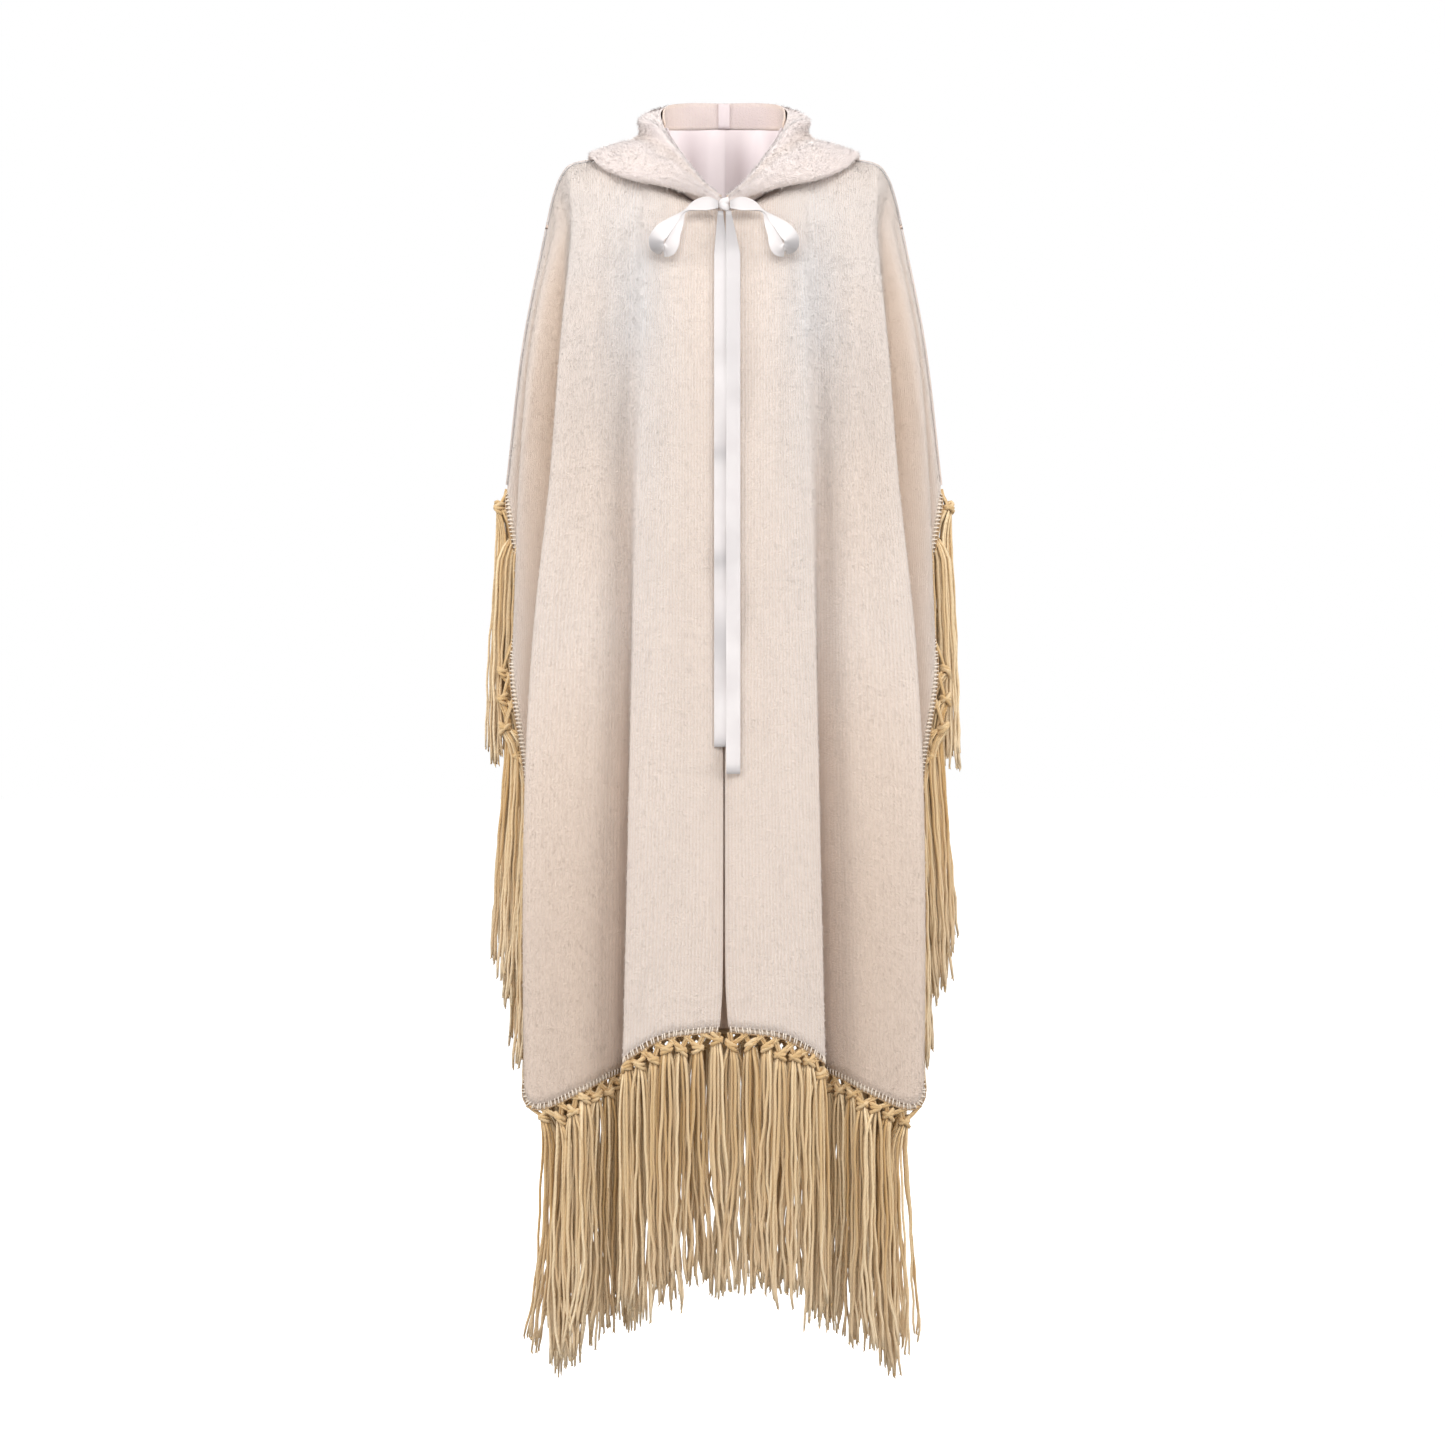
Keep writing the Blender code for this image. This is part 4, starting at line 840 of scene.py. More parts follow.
hood = hood_shell(HOOD_STRIPS, HOOD_STEPS)
hood_row, hood_column = np.indices(hood.shape[:2])
hood_row, hood_column = hood_row / HOOD_STEPS, hood_column / HOOD_STRIPS
hood = crease_hood(hood)
# Painted light: the hood's knit is given paler colours than the same knit of the body where its nap
# is thick, on the face edge and upper roll, for the light falling on them
hood_lit_plush = plush_finish("hood_knit", (0.762, 0.688, 0.675), (0.845, 0.757, 0.738), 0.12)
hood_lit_tufts = pile_finish("hood_pile", (0.792, 0.724, 0.712), (0.866, 0.785, 0.768))
hood_nap = np.interp(hood_row, *HOOD_NAP)
# Painted shade in the groove, under the lower roll and in the pockets beside the shoulders
hood_fold_shade = np.interp(hood_row, *HOOD_GROOVE_SHADE)
for row, column, half_rows, half_columns, depth in HOOD_SHADE_POCKETS:
    hood_fold_shade += depth * np.exp(-((hood_row - row) / half_rows) ** 2
                                - ((hood_column - column) / half_columns) ** 2)
hood_knit = cloth_wall("hood_knit", hood, -normals(hood), HOOD_KNIT, hood_lit_plush, "plush_knit",
                       nap=hood_nap, fold=hood_fold_shade)
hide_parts("hood")
hood_pile = pile("hood_pile", hood, normals(hood), HOOD_BLADES, HOOD_PILE_LEAN, hood_lit_tufts, 14,
                 np.interp(hood_row, *HOOD_PILE_SPREAD), turn_at=HOOD_PILE_TURN,
                 longer=HOOD_PILE_LONGER, nap=hood_nap, fold=hood_fold_shade)

# --- Hood lining: pale satin inside the hood, hanging in soft folds from a facing of the knit
# that runs round the face edge. A small plain tab of the satin covers the join at the back.
FACING = 0.0022
SATIN = 0.0010
FACING_LOW_EDGE = ((82, 0.0005), (112, 0.0045), (145, 0.0092), (180, 0.0118))
FACING_START = 82
FACING_INSETS = (0.0045, 0.0058)
# The facing's knit is peach at both ends and greyer across the back, with painted shade along its
# edges: its nap by the angle round the neck, and its painted shade by the row from the face edge down
FACING_NAP = ((FACING_START, 120, 150), (0.1, 0.45, 1.0))
FACING_EDGE_SHADE = ((0, 1, 2, 9, 11), (0.40, 0.26, 0.05, 0.05, 0.45))
LINING_START = 12
LINING_INSETS = (0.0052, 0.0084)
LINING_DROP = 0.022
LINING_STEP = 0.008
# Folds of the lining: angle round the neck (left is below nothing), half width, stand
LINING_FOLDS = ((-150, 9, 0.0016), (-128, 7, -0.0014), (-172, 6, -0.0012), (-104, 8, 0.0012),
                (168, 7, 0.0016), (149, 6, -0.0016), (132, 8, 0.0014), (112, 7, -0.0012),
                (178, 5, 0.0010), (-84, 9, -0.0010), (88, 8, 0.0012))
# From the lining's top to the seam its folds stand out more and its painted shade is deeper
LINING_SWELL = (0.2, 1.0)
LINING_SHADE = (0.0, 0.14)
LINING_STAND = 0.0030
# Painted shade of the lining: how far its folds change it, how much all over, and how much more by
# the front edge and how far that reaches
LINING_FOLD_SHADE = (-0.10, 0.40)
LINING_SHADE_BASE = 0.10
LINING_FRONT_SHADE, LINING_FRONT_REACH = 0.30, 26
TAB_START = 175
TAB_TOP = 0.01
TAB_INSETS = (0.0069, 0.0071)
# Painted shade: the tab's satin is painted darker all over
TAB_SHADE = 0.42


def face_edge(degrees):
    """The hood's face edge at angles round the neck, on the right."""
    angles = [row[0] for row in HOOD_STATIONS]
    edges = [row[1] for row in HOOD_STATIONS]
    return spline(angles, edges, degrees)


def inside_neck(degrees, top, low, low_drop, insets, rows):
    """Points inside the hood at angles round the neck, mirrored past the centre back."""
    edge = face_edge(degrees)
    seam = np.array([neckline(angle) for angle in degrees])
    out = np.column_stack([np.sin(np.radians(degrees)), -np.cos(np.radians(degrees)),
                           np.zeros(len(degrees))])
    top = np.broadcast_to(top, len(degrees))
    low = np.broadcast_to(low, len(degrees))
    grid = []
    for share in np.linspace(0, 1, rows):
        place = (top * (1 - share) + low * share)[:, None]
        level = edge + (seam - edge) * place - out * np.interp(share, (0, 1), insets)
        level[:, 2] -= low_drop * share ** 3 * (degrees / 180)
        grid.append(level)
    grid = np.array(grid)
    grid[:, -1, 0] = 0.0
    return np.concatenate([grid[:, :-1], mirrored(grid[:, ::-1])], axis=1)


def facing_edge(degrees):
    """The lower edge of the facing, as a share of the way to the neck seam."""
    edge = face_edge(degrees)[:, 2]
    seam = np.array([neckline(angle)[2] for angle in degrees])
    low = np.interp(degrees, *zip(*FACING_LOW_EDGE))
    return np.clip((edge - low) / (edge - seam), 0.02, 1)


def satin_finish(name, colour, shade, deep, roughness, threads):
    """Satin: a smooth face of fine threads with a soft broad gloss, and a painted deeper colour by
    its fold value: painted shade on the lining and tab, painted silver reflection on the ribbon.
    """
    finish, tree, cloth = new_finish(name, roughness, 0.15, (1.0, 1.0, 1.0), 0.5, 0.5)
    weave = texture(tree, "Wave", cloth, scale=threads, distortion=0.6, detail=1.0,
                    bands_direction="Y")
    tone = texture(tree, "Noise", cloth, scale=28.0, detail=3.0, roughness=0.5)
    body = blend_colours(tree, ranged(tree, tone, 0.35, 0.65, 0.0, 0.6), colour, shade)
    body = blend_colours(tree, ranged(tree, weave, 0.0, 1.0, 0.10, 0.0), body, shade)
    body = blend_colours(tree, point_value(tree, "fold"), body, deep)
    return surfaced(finish, body, bumped(tree, weave, 0.15, 0.0002))


lining_satin = satin_finish("satin_lining", (0.895, 0.795, 0.800), (0.815, 0.710, 0.725),
                            (0.42, 0.325, 0.325), 0.45, 500.0)

facing_angles = np.linspace(FACING_START, 180, 60)
facing = inside_neck(facing_angles, 0.0, facing_edge(facing_angles), 0.0, FACING_INSETS, 12)
facing_row, facing_column = np.indices(facing.shape[:2])
facing_turn = np.concatenate([facing_angles[:-1], facing_angles[::-1]])[facing_column]
# Painted shade: the facing's knit is given darker colours than the same knit outside the hood, for
# the shade inside its rim
facing_shaded_plush = plush_finish("facing_knit", (0.65, 0.505, 0.450), (0.605, 0.502, 0.502), 0.25)
facing_knit = cloth_wall("hood_facing_knit", facing, normals(facing), FACING, facing_shaded_plush,
                         "plush_knit", nap=np.interp(facing_turn, *FACING_NAP),
                         fold=np.interp(facing_row, *FACING_EDGE_SHADE))
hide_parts("hood_facing")

lining_angles = np.linspace(LINING_START, 180, 120)
lining = inside_neck(lining_angles, facing_edge(lining_angles) + LINING_STEP, 1.0, LINING_DROP,
                     LINING_INSETS, 26)
lining_turn = np.concatenate([lining_angles[:-1], -lining_angles[::-1]])[None, :]
swelling = np.linspace(*LINING_SWELL, len(lining))[:, None]
lining_lift = np.zeros(lining.shape[:2])
for middle, half_width, stand in LINING_FOLDS:
    lining_lift += stand * swelling * np.exp(-((lining_turn - middle) / half_width) ** 2)
lining = lining + normals(lining) * lining_lift[:, :, None]
# Painted shade: the lining is darker by its folds, towards the seam and by the front edge
lining_fold_shade = np.clip(lining_lift / LINING_STAND, *LINING_FOLD_SHADE) + LINING_SHADE_BASE
lining_fold_shade += np.linspace(*LINING_SHADE, len(lining))[:, None]
lining_fold_shade += LINING_FRONT_SHADE * np.exp(
    -((abs(lining_turn) - LINING_START) / LINING_FRONT_REACH) ** 2)
lining_piece = cloth_wall("hood_lining_satin", lining, normals(lining), SATIN, lining_satin,
                          "satin_lining", fold=np.clip(lining_fold_shade, 0, 1))
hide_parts("hood_lining")

tab_angles = np.linspace(TAB_START, 180.0, 6)
tab = inside_neck(tab_angles, TAB_TOP, facing_edge(tab_angles), 0.0, TAB_INSETS, 8)
tab_piece = cloth_wall("hood_tab_satin", tab, normals(tab), SATIN, lining_satin, "satin_lining",
                       fold=np.full(tab.shape[:2], TAB_SHADE))
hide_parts("hood_tab")

# --- Ribbon: two lengths of off-white satin ribbon with woven edges, sewn in at the neck seam
# and tied in a bow: a small knot, two loops that fall open, and two tails cut with a fold.
RIBBON_WIDTH = 0.0168
RIBBON_THICKNESS = 0.0008
KNOT_HEIGHT = 0.0150
KNOT_PLACE = (0.0, -0.1040, -0.1045)
# The two turns of the knot: lean, half height, half width, half depth and lift
KNOT_WRAPS = ((0.22, 0.0052, 0.0062, 0.0038, 0.0022), (-0.30, 0.0048, 0.0070, 0.0042, -0.0022))
WRAP_POINTS = 40
WRAP_SHARES = (-1.0, -0.6, 0.0, 0.6, 1.0)
WRAP_PINCH = 0.25
TAIL_ENDS = {"left": -0.7419, "right": -0.7733}
TAIL_CENTRES = {"left": -0.0033, "right": 0.0107}
TAIL_TOPS = {"left": -0.0042, "right": 0.0052}
TAIL_PROUD = {"left": 0.0012, "right": 0.0024}
TAIL_PHASES = {"left": 0.0, "right": 1.9}
TAIL_GAP = 0.0016
# Just below the knot a tail is gathered to this share of its width, over this drop
TAIL_GATHER, TAIL_GATHER_DROP = 0.36, 0.05
# The slow and the quick twist of a tail: how far it turns and how often along its fall
TAIL_TWISTS = ((0.10, 31), (0.07, 13))
TAIL_RINGS = 120
LOOP_RINGS = 120
# The right loop: across, out, height, lean of the ribbon's width and share of its full width
LOOP_PATH = (
    (0.0070, 0.1085, -0.1050, 90, 0.55), (0.0200, 0.1100, -0.1043, 90, 0.95),
    (0.0330, 0.1120, -0.1066, 84, 0.72), (0.0455, 0.1150, -0.1128, 60, 0.14),
    (0.0590, 0.1190, -0.1250, 50, 0.62), (0.0724, 0.1235, -0.1383, 47, 1.08),
    (0.0790, 0.1255, -0.1480, 28, 1.04), (0.0780, 0.1235, -0.1565, 14, 1.00),
    (0.0720, 0.1205, -0.1606, 6, 0.98), (0.0645, 0.1215, -0.1590, 6, 1.00),
    (0.0605, 0.1215, -0.1520, 14, 0.98), (0.0585, 0.1205, -0.1430, 22, 0.88),
    (0.0516, 0.1180, -0.1290, 32, 0.50),
    (0.0450, 0.1130, -0.1140, 60, 0.14), (0.0330, 0.1085, -0.1075, 84, 0.60),
    (0.0200, 0.1070, -0.1060, 90, 0.60), (0.0070, 0.1060, -0.1050, 90, 0.50),
)
EDGE_SHARES = (-1.0, -0.93, -0.86, -0.6, -0.3, 0.0, 0.3, 0.6, 0.86, 0.93, 1.0)
EDGE_SWELL = (0.35, 1.0, 0.62, 0.6, 0.6, 0.6, 0.6, 0.6, 0.62, 1.0, 0.35)
# Painted reflection: darker silver marks where the satin turns from the light: share of the run, half
# length, depth
LOOP_PAINTED_SILVER = ((0.0, 0.03, 0.5), (0.215, 0.03, 0.35), (0.47, 0.045, 0.9), (0.76, 0.04, 0.3),
               (0.98, 0.08, 0.5))
TAIL_PAINTED_SILVER = {
    "left": ((0.0, 0.06, 0.8), (0.20, 0.22, 0.24), (0.455, 0.018, 0.45), (0.655, 0.02, 0.55),
             (0.80, 0.05, 0.5), (0.99, 0.006, 0.5)),
    "right": ((0.0, 0.05, 0.5), (0.15, 0.26, 0.46), (0.62, 0.08, 0.20), (0.992, 0.006, 0.5)),
}


def sleeve(index):
    """Faces of a skin round rows of point numbers, with a cap at each end."""
    return quads(index).tolist() + [index[0][::-1].tolist(), index[-1].tolist()]


def ribbon(name, path, widths, finish, silver):
    """A ribbon along a path, thicker at its woven edges; widths holds half-width vectors."""
    proud = unit(np.cross(np.gradient(path, axis=0), widths)) * RIBBON_THICKNESS / 2
    middle = path[:, None] + widths[:, None] * np.array(EDGE_SHARES)[None, :, None]
    swell = proud[:, None] * np.array(EDGE_SWELL)[None, :, None]
    ring = np.concatenate([middle + swell, (middle - swell)[:, ::-1]], axis=1)
    index = np.arange(ring.size // 3).reshape(ring.shape[:2])
    across = np.concatenate([EDGE_SHARES, EDGE_SHARES[::-1]]) * RIBBON_WIDTH / 2
    measure = np.stack(np.broadcast_arrays(across[None, :], lengths_along(path)[:, None]), axis=2)
    # The fold value carries the painted silver reflection
    return new_piece(name, ring.reshape(-1, 3), sleeve(index), finish, "satin_ribbon",
                     measure.reshape(-1, 2), fold=np.repeat(silver, ring.shape[1]))


def loop_route(side):
    """The middle and half-width vectors of one loop of the bow; side is 1 on the right."""
    rows = np.array(LOOP_PATH)
    path = np.column_stack([rows[:, 0], -rows[:, 1], rows[:, 2]])
    run = lengths_along(path)
    places = np.linspace(0, run[-1], LOOP_RINGS)
    path = spline(run, path, places)
    lean, share = spline(run, rows[:, 3:], places).T
    lean = np.radians(lean)
    widths = np.column_stack([np.cos(lean), np.zeros(len(lean)), np.sin(lean)])
    along = unit(np.gradient(path, axis=0))
    widths -= along * np.sum(along * widths, axis=1, keepdims=True)
    widths *= (RIBBON_WIDTH / 2 * share / np.linalg.norm(widths, axis=1))[:, None]
    return (path, widths) if side > 0 else (mirrored(path), mirrored(widths))


def tail_route(side):
    """The middle and half-width vectors of one hanging end, lying on the front beside it."""
    panel = front_panel(1, 1)
    top = KNOT_PLACE[2] - KNOT_HEIGHT / 2 - SEAM_GAP
    heights = np.linspace(top, TAIL_ENDS[side], TAIL_RINGS)
    far_edge = abs(TAIL_CENTRES[side]) + RIBBON_WIDTH / 2
    cloth = []
    for height in heights:
        level = [[np.interp(-height, -column[:, 2], column[:, axis]) for axis in (0, 1)]
                 for column in np.moveaxis(panel[:, :4], 1, 0)]
        cloth.append(np.interp(far_edge, *zip(*level)))
    out = np.minimum(cloth, KNOT_PLACE[1] + TAIL_PROUD["left"]) - TAIL_PROUD[side] - TAIL_GAP
    below_knot = (top - TAIL_GATHER_DROP, top)
    narrow = np.interp(heights, below_knot, (1.0, TAIL_GATHER))
    centre = np.interp(heights, below_knot, (TAIL_CENTRES[side], TAIL_TOPS[side]))
    path = np.column_stack([centre, out, heights])
    fall = (top - heights) / (top - TAIL_ENDS[side])
    (slow, slow_rate), (quick, quick_rate) = TAIL_TWISTS
    tilt = (slow * np.sin(slow_rate * fall + TAIL_PHASES[side]) * fall ** 0.5
            + quick * np.sin(quick_rate * fall + TAIL_PHASES[side]))
    widths = np.zeros_like(path)
    widths[:, 0] = RIBBON_WIDTH / 2 * narrow * np.cos(tilt)
    widths[:, 1] = RIBBON_WIDTH / 2 * narrow * np.sin(tilt)
    path[:, 1] -= abs(widths[:, 1])
    return path, widths


def painted_silver_of(marks, rings):
    """How much painted silver reflection the ribbon gets at each ring along it."""
    share = np.linspace(0, 1, rings)
    return np.clip(sum(depth * np.exp(-((share - place) / length) ** 2)
                       for place, length, depth in marks), 0, 1)


def knot_wraps():
    """Two turns of ribbon drawn tight round the bow's middle, the outer one slanting."""
    angle = np.linspace(0, 2 * math.pi, WRAP_POINTS, endpoint=False)
    share = np.array(WRAP_SHARES)[:, None]
    pinch = 1 - WRAP_PINCH * share ** 2
    return [np.stack([pinch * wide * np.cos(angle), pinch * deep * np.sin(angle),
                      lift + lean * wide * np.cos(angle) + tall * share], axis=2)
            + np.array(KNOT_PLACE) for lean, tall, wide, deep, lift in KNOT_WRAPS]


# The ribbon's deep colour is its painted silver reflection
ribbon_satin = satin_finish("satin_ribbon", (0.800, 0.755, 0.745), (0.72, 0.670, 0.665),
                            (0.40, 0.38, 0.385), 0.34, 620.0)
for side, sign in (("left", -1), ("right", 1)):
    loop = ribbon("ribbon_loop_" + side + "_satin", *loop_route(sign), ribbon_satin,
                  painted_silver_of(LOOP_PAINTED_SILVER, LOOP_RINGS))
    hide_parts("ribbon_loop_" + side)
    tail = ribbon("ribbon_tail_" + side + "_satin", *tail_route(side), ribbon_satin,
                  painted_silver_of(TAIL_PAINTED_SILVER[side], TAIL_RINGS))
    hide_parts("ribbon_tail_" + side)

wraps = np.array(knot_wraps())
wrap_index = np.arange(wraps.size // 3).reshape(wraps.shape[:3])
knot_points = wraps.reshape(-1, 3)
knot_piece = new_piece("ribbon_knot_satin", knot_points,
                       [face for index in wrap_index for face in sleeve(index)],
                       ribbon_satin, "satin_ribbon", knot_points[:, [0, 2]])
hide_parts("ribbon_knot")

# --- Fringe: bundles of tan twisted cotton yarns, ten in each on the hems and thirteen on the open
# sides. They are looped through a drawn-thread edge, and crossed legs lead down to a tight knot.
YARN_RADIUS = 0.00175
YARN_SIDES = 4
FRINGE_LENGTH = 0.305
LENGTH_SPREAD = 0.012
WAVE_STEP = 2.4
STRIP_GAP = 0.0008
STRIP_HEIGHT = 0.006
HEM_SPACING = 0.0195
SIDE_SPACING = 0.034
# The knots lie below the roots, partly on along the cloth; on the hems their drop also waves:
# how far, and how quickly from bundle to bundle
KNOT_DROP = 0.024
HEM_KNOT_DROP = 0.013
HEM_KNOT_WAVES = ((0.0035, 2.1, 0.0), (0.0025, 5.3, 1.0))
HEM_WAVE_START = 40
KNOT_ONWARD = 0.55
KNOT_WIDTH = 0.014
SEAM_CLEARANCE = 0.6
# By the height of a side bundle's knot: how far it hangs out, how far at most, and its slant
SIDE_HEIGHTS = (-1.16, -0.90, -0.87, -0.80, -0.76, -0.70, -0.64, -0.58, -0.52, -0.49, -0.43)
SIDE_FLARE = (-0.020, -0.020, -0.008, -0.008, -0.004, 0.012, 0.012, -0.002, 0.000, 0.006, 0.008)
SIDE_REACH = (0.208, 0.208, 0.237, 0.237, 0.244, 0.262, 0.262, 0.254, 0.252, 0.262, 0.268)
SIDE_SLANT = (0.006, 0.006, 0.003, 0.003, 0.006, 0.009, 0.009, 0.008, 0.008, 0.009, 0.010)
SIDE_NEAREST = 0.186
STRAND_WIDTH = 0.0085
STRAND_PITCH = 0.0115
HANGING_ROUNDS = 400
# The hem bundles close up at the middle, draw in under the corners and flare at their ends
CENTRE_CLOSE = 0.014
HEM_STRAIGHT = 0.150
KNOT_PULL = 0.14
HEM_PULL = 0.10
HEM_FLARE = 0.16
# By height, the share of TUCK that the side knots lie tucked in behind the edge of the cloth
TUCK_HEIGHTS = (-0.765, -0.742, -0.632, -0.610, -0.482, -0.462)
TUCK_SHARES = (1.0, 0.0, 0.0, 1.0, 1.0, 0.0)
TUCK = 0.019
TUCK_BACK = 0.4
# By height of the knot, again: how far the lowest side bundles hang in behind the corner of the
# panel, how much more some slant out, and how much shorter they end
SIDE_LOW = ((-0.90, -0.84, -0.74, -0.68, -0.60, -0.56), (0.016, 0.004, 0.004, 0.009, 0.009, 0.0))
SIDE_MORE_SLANT = ((-0.82, -0.78, -0.66, -0.60), (0.0, 0.009, 0.009, 0.0))
SIDE_SHORTER = ((-0.80, -0.72, -0.60), (-0.014, -0.010, 0.008))
NECK_DROP = 0.028
# The two legs of a bundle start this share of a step to either side of it
LEG_SHARE = 0.62
LEG_RINGS = 7
LEG_BOW = 0.0012
LEG_TONES = (0.05, 0.50)
# Each turn of a bundle's knot: lean, lift, half width and half depth
KNOT_TURNS = ((0.75, 0.0024, 0.0056, 0.0046), (-0.80, -0.0018, 0.0058, 0.0050),
              (0.20, 0.0004, 0.0050, 0.0052))
KNOT_RINGS = 12
KNOT_SIDES = 5
KNOT_THICKER = 1.45
KNOT_TONES = (0.10, 0.55)
YARN_RINGS = 20
# A yarn leaves its knot, bends over the bundle's neck by the first share of its length and
# falls from the second share on; its bundle is this wide and deep in the knot, and reaches
# this much of its end width at the neck
NECK_SHARE = 0.14
FALL_SHARE = 0.08
YARN_START = 0.003
TIGHT_WIDTH, TIGHT_DEPTH = 0.0080, 0.0055
NECK_WIDTH = 0.80
# Where the yarns of a bundle sit, across and through it, as shares of its width. The hems add
# three more, and the open sides six, most of them inward of the knot, against the cloth.
YARN_SEATS = ((-0.50, 0.10), (-0.33, -0.42), (-0.17, 0.42), (0.0, -0.30), (0.17, 0.40),
              (0.33, -0.40), (0.50, 0.05))
HEM_SEATS = ((-0.60, 0.75), (0.58, 0.80), (0.02, 0.95))
SIDE_SEATS = ((-0.62, 0.2), (-0.54, -0.3), (-0.25, 0.15), (-0.42, 0.5), (0.1, -0.1), (0.32, 0.1))
SIDE_SEAT_SPREAD = 1.9
# How the yarns of a bundle hang on the hems and the sides: how far each drifts, how much shorter
# it is, how far a bundle closes up or fans out, and its width and depth where it ends
HEM_HANG = (0.0052, 0.015, (0.55, 1.20), HEM_SPACING * 1.18, 0.011)
SIDE_HANG = (0.0024, 0.001, (0.90, 1.25), 0.0102, STRAND_WIDTH * 1.4)
SIDE_WIDER = ((-0.66, -0.58), (1.0, 1.7))
# How far and how quickly the bundles wander and the yarns sway, and the small kinks of a yarn
WANDER, WANDER_RATES = (0.5, 2.0), (2.0, 5.0)
SWAY, SWAY_RATES, SWAY_OUT = (0.25, 1.0), (5, 12), 0.6
KINK, KINK_RATES = 0.0011, (18, 36)
BUNDLE_LENGTHS = (-0.006, 0.008)
BUNDLE_TONES = (-0.18, 0.18)
YARN_LENGTHS = (-0.011, 0.011)
YARN_TONES = (0.05, 0.95)
# A yarn's thickness along it, and that of its two plies, which part at the cut end
YARN_SWELL = ((0, 0.05, 0.93, 0.985, 1), (0.93, 1.03, 0.98, 1.08, 0.77))
PLY_SWELL = (0.68, 0.58, 0.22)
PLY_FRAYS = (0.0004, 0.0018)
PLY_FALLS = (0.001, 0.006)
# The edge stitches: how far apart, how thick and slanted, and the cord and tape that hold them; the
# tape is painted dark for the shade between the stitches
STITCH_PITCH = 0.0048
STITCH_ENDS = (0.002, 0.0045)
# Some runs of stitches are uneven: how far, how quickly it changes, and how the runs alternate
STITCH_UNEVEN, UNEVEN_RATE, UNEVEN_RUNS = 0.0011, 2.1, 0.11
STITCH_RADIUS = 0.00085
STITCH_SLANT = 0.0021
STITCH_INSET = 0.30
STITCH_TOP = 0.0015
STITCH_BOW = 0.0008
CORD_RADIUS = 0.0009
TAPE_DEPTHS = (0.75, 0.95)
TAPE_STEP = 0.004
TAPE_END = 0.0015
# Patches of painted shade on the tape: middle, swing, two rates along the edge, the second one's
# start
TAPE_SHADE_PATCHES = (0.34, 0.75, 47.0, 19.0, 1.0)
# The palest the tape's painted shade gets
TAPE_SHADE_PALEST = 0.8
# The tape's painted shade is pale on the sides: by height, by distance from the middle, and its tone
# there
TAPE_SIDE_HEIGHTS, TAPE_SIDE_REACH, TAPE_SIDE_SHADE = (-1.14, -1.08), (0.17, 0.19), 0.85
UP = np.array([0.0, 0.0, 1.0])


def lowest_edge(grid):
    """The lower edge of a panel, with the way on from the cloth at each point."""
    edge = grid[-1]
    onward = np.cross(unit(np.gradient(edge, axis=0)), normals(grid)[-1])
    onward *= np.sign(np.sum(onward * (edge - grid[-2]), axis=1, keepdims=True))
    onward[abs(edge[:, 1]) < SEAM_GAP, 1] = 0.0
    return edge, unit(onward)


def read_along(values, run, places):
    """Values along an edge, read at places between its points."""
    return np.column_stack([np.interp(places, run, values[:, axis]) for axis in range(3)])


def strips_before(folds, name):
    """How many strips of cloth lie before the named fold."""
    names = [fold[0] for fold in folds]
    return sum(fold[3] for fold in folds[:names.index(name)])


def hang_apart(knots, ends, side_of):
    """Where the side bundles hang: pushed apart until none meets another or a knot."""
    spots = knots[:, :2].copy()
    spots[:, 0] += np.interp(knots[:, 2], SIDE_HEIGHTS, SIDE_FLARE)
    reach = np.interp(knots[:, 2], SIDE_HEIGHTS, SIDE_REACH)
    tops = knots[:, 2] - KNOT_WIDTH / 2
    share_level = (ends[:, None] < tops[None]) & (ends[None] < tops[:, None])
    np.fill_diagonal(share_level, False)
    passes_knot = (ends[:, None] < knots[None, :, 2]) & (tops[:, None] > knots[None, :, 2])
    for _ in range(HANGING_ROUNDS):
        for others, meets, part in ((spots, share_level, 0.5), (knots[:, :2], passes_knot, 1)):
            gap = spots[:, None] - others[None]
            gap[..., 0] += 1e-6
            size = np.linalg.norm(gap, axis=2)
            push = np.where(meets, (STRAND_PITCH - size).clip(min=0), 0) * part / size
            spots += 0.5 * (gap * push[..., None]).sum(axis=1)
        spots[:, 1] = side_of * (side_of * spots[:, 1]).clip(min=STRAND_WIDTH * SEAM_CLEARANCE)
        spots[:, 0] = spots[:, 0].clip(SIDE_NEAREST, reach)
    return spots


def knots_below(roots, ways, at_side):
    """The centre of each bundle's knot, a little on from the cloth and below its root."""
    drop = np.full((len(roots), 1), KNOT_DROP)
    if not at_side:
        place = np.arange(len(roots))[:, None] + HEM_WAVE_START * roots[:1, :1]
        drop = HEM_KNOT_DROP + sum(size * np.sin(rate * place + start)
                                   for size, rate, start in HEM_KNOT_WAVES)
    knots = roots + ways * drop * KNOT_ONWARD
    knots[:, 2] -= drop[:, 0] * (1 - KNOT_ONWARD)
    if at_side:
        least = np.maximum(abs(knots[:, 1]), KNOT_WIDTH * SEAM_CLEARANCE)
        knots[:, 1] = np.copysign(least, roots[:, 1])
    return knots


def fringe_roots(grid, columns, spacing, seed):
    """Roots of the bundles on part of a panel's lower edge: places, ways on and ends."""
    edge, onward = (values[columns] for values in lowest_edge(grid))
    run = lengths_along(edge)
    count = int(round(run[-1] / spacing))
    places = (np.arange(count) + 0.5) * run[-1] / count
    roots = read_along(edge + onward * (STRIP_GAP + STRIP_HEIGHT), run, places)
    ways = read_along(onward, run, places)
    lengths = FRINGE_LENGTH + LENGTH_SPREAD * np.sin(WAVE_STEP * np.arange(count) + seed)
    return places, roots, ways, roots[:, 2] - lengths


